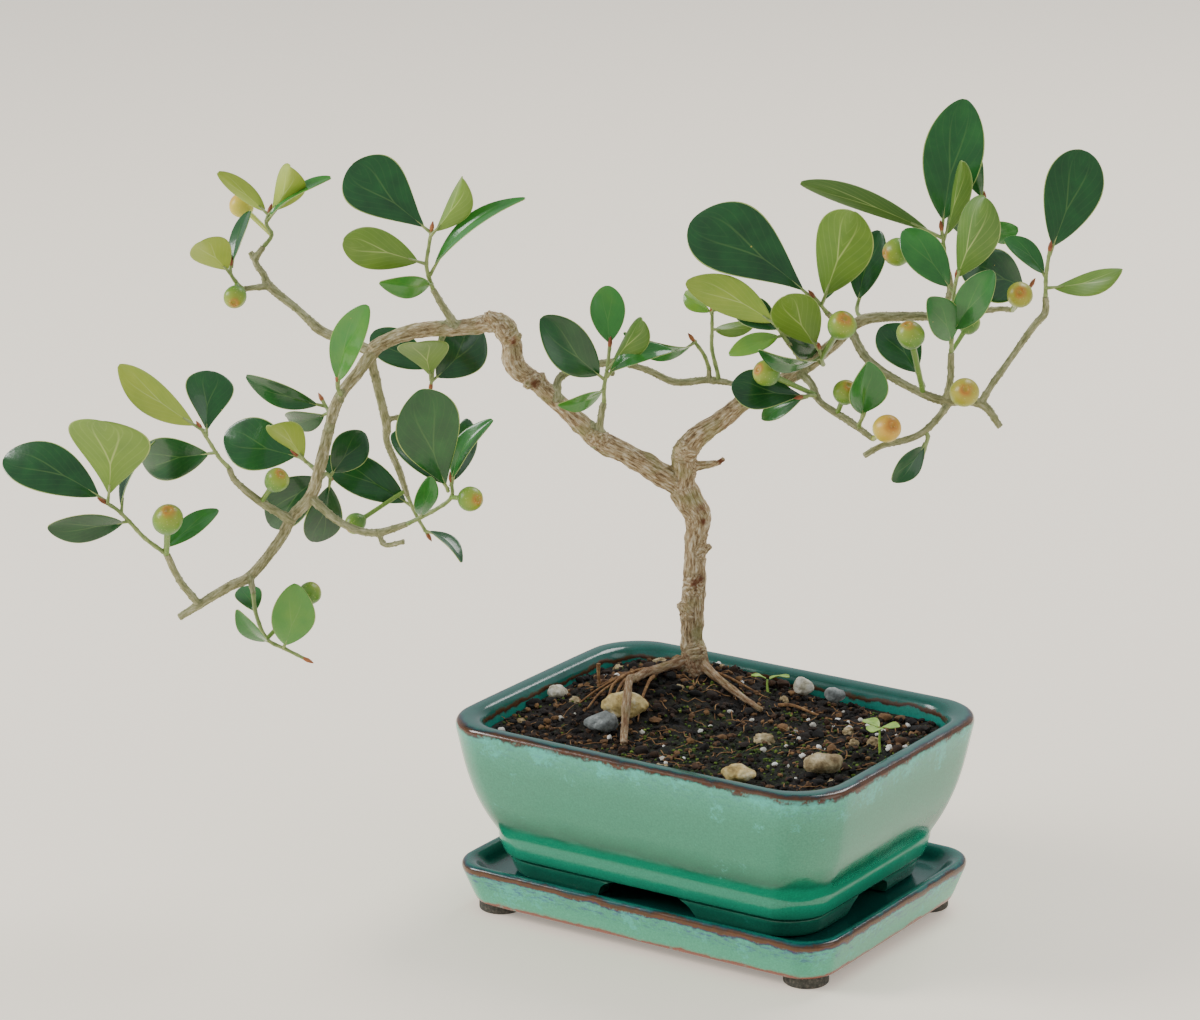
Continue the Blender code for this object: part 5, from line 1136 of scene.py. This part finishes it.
def leaf_blank():
    """A flat leaf: across from -1 to 1, and from stalk to tip from 0 to 1, closer at the tip."""
    clear_selection()
    bpy.ops.mesh.primitive_grid_add(x_subdivisions=8, y_subdivisions=16, size=2.0)
    blank = bpy.context.object
    for vert in blank.data.vertices:
        share = (vert.co.y + 1) / 2
        vert.co = (vert.co.x, 0.09 + 0.9095 * (1 - (1 - share) ** 1.5), 0.0)
    layer = blank.data.uv_layers["UVMap"].data
    for loop in blank.data.loops:
        spot = blank.data.vertices[loop.vertex_index].co
        layer[loop.index].uv = ((spot.x + 1) / 2, spot.y)
    return blank


def nearest_wood(place, points, reach):
    """The nearest of the points that bear a shoot or a fig, if one is within reach."""
    near = min(points, key=lambda point: (point - place).length)
    return near if (near - place).length < reach else place


def build_shoots():
    wood = [place for _, places in wood_paths() for place, _ in places]
    looks = leaf_looks()
    blank = leaf_blank()
    dice = random.Random(11)
    for name, (stem, leaves) in SHOOTS.items():
        blades, stalks = [], []
        for leaf in leaves + EXTRA_LEAVES.get(name, ()):
            blade, stalk = shape_leaf(blank, *leaf, dice)
            blades.append(blade)
            stalks.append(stalk)
        blades = join(name + "_leaves", blades)
        clothe(blades, *looks)
        apply_modifier(blades, "SOLIDIFY", thickness=0.42, offset=0.0, material_offset=1,
                       material_offset_rim=2)
        apply_modifier(blades, "SUBSURF", levels=1, render_levels=1)
        stem = (nearest_wood(Vector(stem[0]), wood, 8.0),) + stem
        places = smooth_path(stem, [STEM_RADIUS * (0.95 - 0.3 * index / len(stem))
                                    for index in range(len(stem))], 1.2)
        # A slight ring wherever a leaf once stood.
        places = [(place, radius * (1.16 if index % 4 == 2 else 1.0))
                  for index, (place, radius) in enumerate(places)]
        stems = tubes(name + "_stem", [places] + stalks, 2)
        tip, ahead = places[-1][0], (places[-1][0] - places[-3][0]).normalized()
        bud = tubes(name + "_bud", [smooth_path(
            (tip - ahead, tip + ahead * 1.0, tip + ahead * 2.2, tip + ahead * 3.4),
            (0.6, 0.85, 0.6, 0.12), 0.6)], 2)
        for piece, index in ((stems, 3), (bud, 4)):
            clothe(piece, *looks)
            for face in piece.data.polygons:
                face.material_index = index
        shoot = join(name + "_shoot", [blades, stems, bud])
        smooth(shoot, 60.0)
        settle(shoot, TREE_FRAME, "leaf", name)
    bpy.data.objects.remove(blank, do_unlink=True)


def build_figs():
    """One fig drawn up ring by ring from its stalk, then copied, sized and turned."""
    bearers = [place for _, places in wood_paths() for place, _ in places]
    bearers += [Vector(point) for stem, _ in SHOOTS.values() for point in stem]
    look = fig_skin()
    clear_selection()
    bpy.ops.mesh.primitive_circle_add(vertices=20, radius=FIG_RINGS[0][0], fill_type="NGON",
                                      location=(0, 0, FIG_RINGS[0][1]))
    bpy.ops.object.transform_apply(location=True)
    model = bpy.context.object
    bpy.ops.object.mode_set(mode="EDIT")
    for (radius, level), (small, before) in zip(FIG_RINGS[1:], FIG_RINGS):
        bpy.ops.mesh.extrude_region_move(TRANSFORM_OT_translate={"value": (0, 0, level - before)})
        bpy.ops.transform.resize(value=(radius / small, radius / small, 1.0),
                                 center_override=(0.0, 0.0, 0.0))
    bpy.ops.object.mode_set(mode="OBJECT")
    turn_outwards(model)
    apply_modifier(model, "SUBSURF", levels=1, render_levels=1)
    for number, (name, (root, middle, width)) in enumerate(FIGS.items()):
        root, middle = nearest_wood(Vector(root), bearers, 6.0), Vector(middle)
        radius = width / 2
        reach = (middle - root).length / radius
        fig = bring_in(name + "_fruit", model.data.copy())
        for vert in fig.data.vertices:
            lean = 0.05 * sin(3 * vert.co.z + number) * (vert.co.z > -1.1)
            vert.co.x += lean
            vert.co.x *= 1 + 0.04 * noise.noise(vert.co * 1.7 + Vector((number, 0, 0)))
            if vert.co.z < -1.3:
                vert.co.z = min(-1.32, -reach)
        point_values(fig, "up", [vert.co.z for vert in fig.data.vertices])
        point_values(fig, "ripe", [RIPE_FIGS.get(name, 0.0)] * len(fig.data.vertices))
        clothe(fig, look)
        smooth(fig, 70.0)
        spin = (middle - root).to_track_quat("Z", "Y").to_matrix().to_4x4()
        settle(fig, TREE_FRAME @ Matrix.Translation(middle) @ spin @ Matrix.Scale(radius, 4),
               "fig_skin", name)
    bpy.data.objects.remove(model, do_unlink=True)


def build_stones():
    """Each stone is its plain solid, rounded and then chipped by noise."""
    looks = {
        "flint": grainy("yellow_flint", ((0.30, "#6E5A2E"), (0.42, "#A98F52"), (0.55, "#D2BB7C"),
                                         (0.66, "#E8DCB4"), (0.78, "#8A8471")), 190.0, 0.6),
        "slate": grainy("grey_slate", ((0.30, "#4E524F"), (0.5, "#7B807D"), (0.62, "#A5AAA6"),
                                       (0.75, "#C9CCC6")), 260.0, 0.65),
        "quartz": grainy("white_quartz", ((0.30, "#7E7762"), (0.45, "#AFA88F"), (0.58, "#D9D5C4"),
                                          (0.75, "#F2F0E6")), 300.0, 0.6),
        "sandstone": grainy("brown_sandstone", ((0.30, "#54432C"), (0.45, "#85704C"),
                                                (0.60, "#B8A67F"), (0.75, "#DDD3B6")), 240.0, 0.85)}
    for name, kind in STONE_KINDS.items():
        stone = bring_in(name + "_pebble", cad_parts[name].data.copy())
        choose(stone)
        bpy.ops.object.mode_set(mode="EDIT")
        bpy.ops.mesh.select_all(action="SELECT")
        bpy.ops.mesh.remove_doubles(threshold=0.00001)
        bpy.ops.object.mode_set(mode="OBJECT")
        apply_modifier(stone, "SUBSURF", levels=3, render_levels=3)
        chips = []
        for vert in stone.data.vertices:
            facet = noise.voronoi(vert.co * 260.0)[0][0]
            rough = noise.fractal(vert.co * 420.0, 1.0, 2.0, 4)
            chips.append(vert.normal * ((facet - 0.4) * 0.0011 + rough * 0.00035))
        for vert, chip in zip(stone.data.vertices, chips):
            vert.co += chip
        clothe(stone, looks[kind])
        smooth(stone, 35.0)
        settle(stone, Matrix.Identity(4), kind, name)
    scatter("small_pebbles", 26, (2.5, 5.5), looks["sandstone"], "sandstone", 3,
            lambda x, y: 1.0 if hypot(x / 66, y / 48) > 0.75 else 0.12, 5, sink=0.1)


def build_ground_cover():
    """What lies loose on the soil: crumbs, bark, perlite, moss and dry fibres."""
    crumb = grainy("peat_crumb", ((0.25, "#0A0704"), (0.48, "#20140B"), (0.66, "#452D1A"),
                                  (0.84, "#86643F")), 700.0, 0.95, tone=True)
    pale = grainy("perlite", ((0.2, "#B9B5A8"), (0.5, "#DEDBD0"), (0.8, "#F7F6F0")), 900.0, 0.8,
                  tone=True)
    moss = grainy("cushion_moss", ((0.2, "#141C08"), (0.50, "#2E4012"), (0.75, "#587020"),
                                   (0.95, "#A3B250")), 800.0, 0.9, tone=True)
    brown = grainy("dry_root_fibre", ((0.25, "#4A2E1A"), (0.5, "#85603A"), (0.75, "#C09A68")), 500.0,
                   0.85)
    scatter("peat_crumbs", 1900, (0.7, 2.6), crumb, "potting_soil", 1,
            lambda x, y: 1.0 - 0.75 * mossy(x, y), 21)
    scatter("bark_chips", 120, (2.2, 4.6), crumb, "potting_soil", 2,
            lambda x, y: 0.35 + 0.65 * exp(-((x + 40) ** 2 + (y - 18) ** 2) / 500), 22, flat=0.35)
    scatter("perlite_bits", 64, (1.0, 2.5), pale, "quartz", 2,
            lambda x, y: 0.25 + 0.75 * exp(-((x - 48) ** 2 + (y - 22) ** 2) / 450), 23)
    scatter("moss_grains", 1100, (0.5, 1.5), moss, "potting_soil", 1,
            lambda x, y: 0.06 + mossy(x, y), 24, sink=0.35)
    dice = random.Random(31)
    fibres = []
    while len(fibres) < 170:
        x, y = dice.uniform(-70, 70), dice.uniform(-52, 52)
        if not inside_pot(x, y, 6.0):
            continue
        turn, length = dice.uniform(0, 2 * pi), dice.uniform(4, 11)
        points = []
        for step in range(5):
            turn += dice.uniform(-0.5, 0.5)
            points.append((x, y, crumbly_height(x, y) + dice.uniform(0.2, 1.3)))
            x += cos(turn) * length / 4
            y += sin(turn) * length / 4
        fibres.append(smooth_path(points, (0.17, 0.2, 0.2, 0.17, 0.1), 1.5))
    mat = tubes("dry_fibres", fibres, 0)
    clothe(mat, brown)
    settle(mat, POT_FRAME, "bark")
    roots = []
    for path in FINE_ROOTS:
        points = [(across, deep, crumbly_height(*tree_to_pot(across, deep)) - TREE_BASE.z + up)
                  for across, deep, up in path]
        roots.append(smooth_path(points, [0.75 - 0.4 * index / (len(points) - 1)
                                          for index in range(len(points))], 1.2))
    roots = tubes("fine_roots", roots, 2)
    clothe(roots, brown)
    smooth(roots, 60.0)
    settle(roots, TREE_FRAME, "bark")


def build_weeds():
    """Two weeds that came up in the soil, thin stalks with light green leaflets."""
    look = grainy("soft_weed_leaf", ((0.3, "#6F9A34"), (0.5, "#93B84A"), (0.75, "#B8D070")), 300.0,
                  0.45, 0.0002)
    blank = leaf_blank()
    dice = random.Random(41)
    for name, ((x, y), height, leaflets) in WEEDS.items():
        low = soil_height(x, y)
        top = Vector((x, y + 0.5, low + height))
        blades = []
        for angle, reach, width in leaflets:
            turn = radians(angle)
            tip = top + Vector((reach * cos(turn), reach * sin(turn), 1.2))
            blade, _ = shape_leaf(blank, top, tip, width, 0.0, "round", 1.0, dice,
                                  Vector((0.0, 0.0, 1.0)))
            blades.append(blade)
        leaves = join(name + "_leaflets", blades)
        apply_modifier(leaves, "SOLIDIFY", thickness=0.3, offset=0.0)
        apply_modifier(leaves, "SUBSURF", levels=1, render_levels=1)
        stalk = tubes(name + "_stalk", [smooth_path(
            ((x + 0.8, y - 0.4, low - 0.5), (x + 0.2, y, low + height / 2), top), (0.5, 0.42, 0.4),
            1.0)], 2)
        weed = join(name + "_weed", [leaves, stalk])
        clothe(weed, look)
        smooth(weed, 60.0)
        settle(weed, POT_FRAME, "weed", name)
    bpy.data.objects.remove(blank, do_unlink=True)


def build_stage():
    """A pale floor, three soft lights and the camera."""
    clear_selection()
    bpy.ops.mesh.primitive_plane_add(size=8.0)
    floor = bpy.context.object
    floor.name = "floor"
    look, _, _ = new_material("pale_paper_floor", roughness=0.75,
                              Base_Color=linear("#FFF3DF"),
                              Emission_Color=linear("#FFF6E8"), Emission_Strength=0.30)
    floor.data.materials.append(look)

    world = bpy.data.worlds.new("soft_room")
    world.use_nodes = True
    ground = world.node_tree.nodes["Background"]
    ground.inputs["Color"].default_value = linear("#E9EEF4")
    ground.inputs["Strength"].default_value = 0.7
    bpy.context.scene.world = world
    for name, spot, size, power in LIGHTS:
        lamp = bpy.data.lights.new(name, "AREA")
        lamp.shape = "DISK"
        lamp.size = size
        lamp.energy = power
        light = bring_in(name, lamp)
        light.location = spot
        light.rotation_euler = (POT_MIDDLE + Vector((0, 0, 0.1)) - Vector(spot)).to_track_quat(
            "-Z", "Y").to_euler()

    turn, rise = radians(TREE_TURN), radians(CAMERA_RISE)
    right = Vector((cos(turn), sin(turn), 0.0))
    back = Vector((sin(turn) * cos(rise), -cos(turn) * cos(rise), sin(rise)))
    target = POT_MIDDLE + Vector((0, 0, RIM_HEIGHT)) + right * CAMERA_AIM[0]
    target += back.cross(right) * CAMERA_AIM[1]
    lens = bpy.data.cameras.new("camera")
    lens.sensor_width = 36.0
    lens.lens = CAMERA_LENS
    camera = bring_in("camera", lens)
    camera.matrix_world = Matrix.Translation(target + back * CAMERA_AWAY) @ Matrix(
        (right, back.cross(right), back)).transposed().to_4x4()
    bpy.context.scene.camera = camera


def main():
    build_stage()
    build_pot()
    build_tray()
    dress_screens()
    build_soil()
    build_wood()
    build_shoots()
    build_figs()
    build_stones()
    build_ground_cover()
    build_weeds()
    clear_selection()


main()
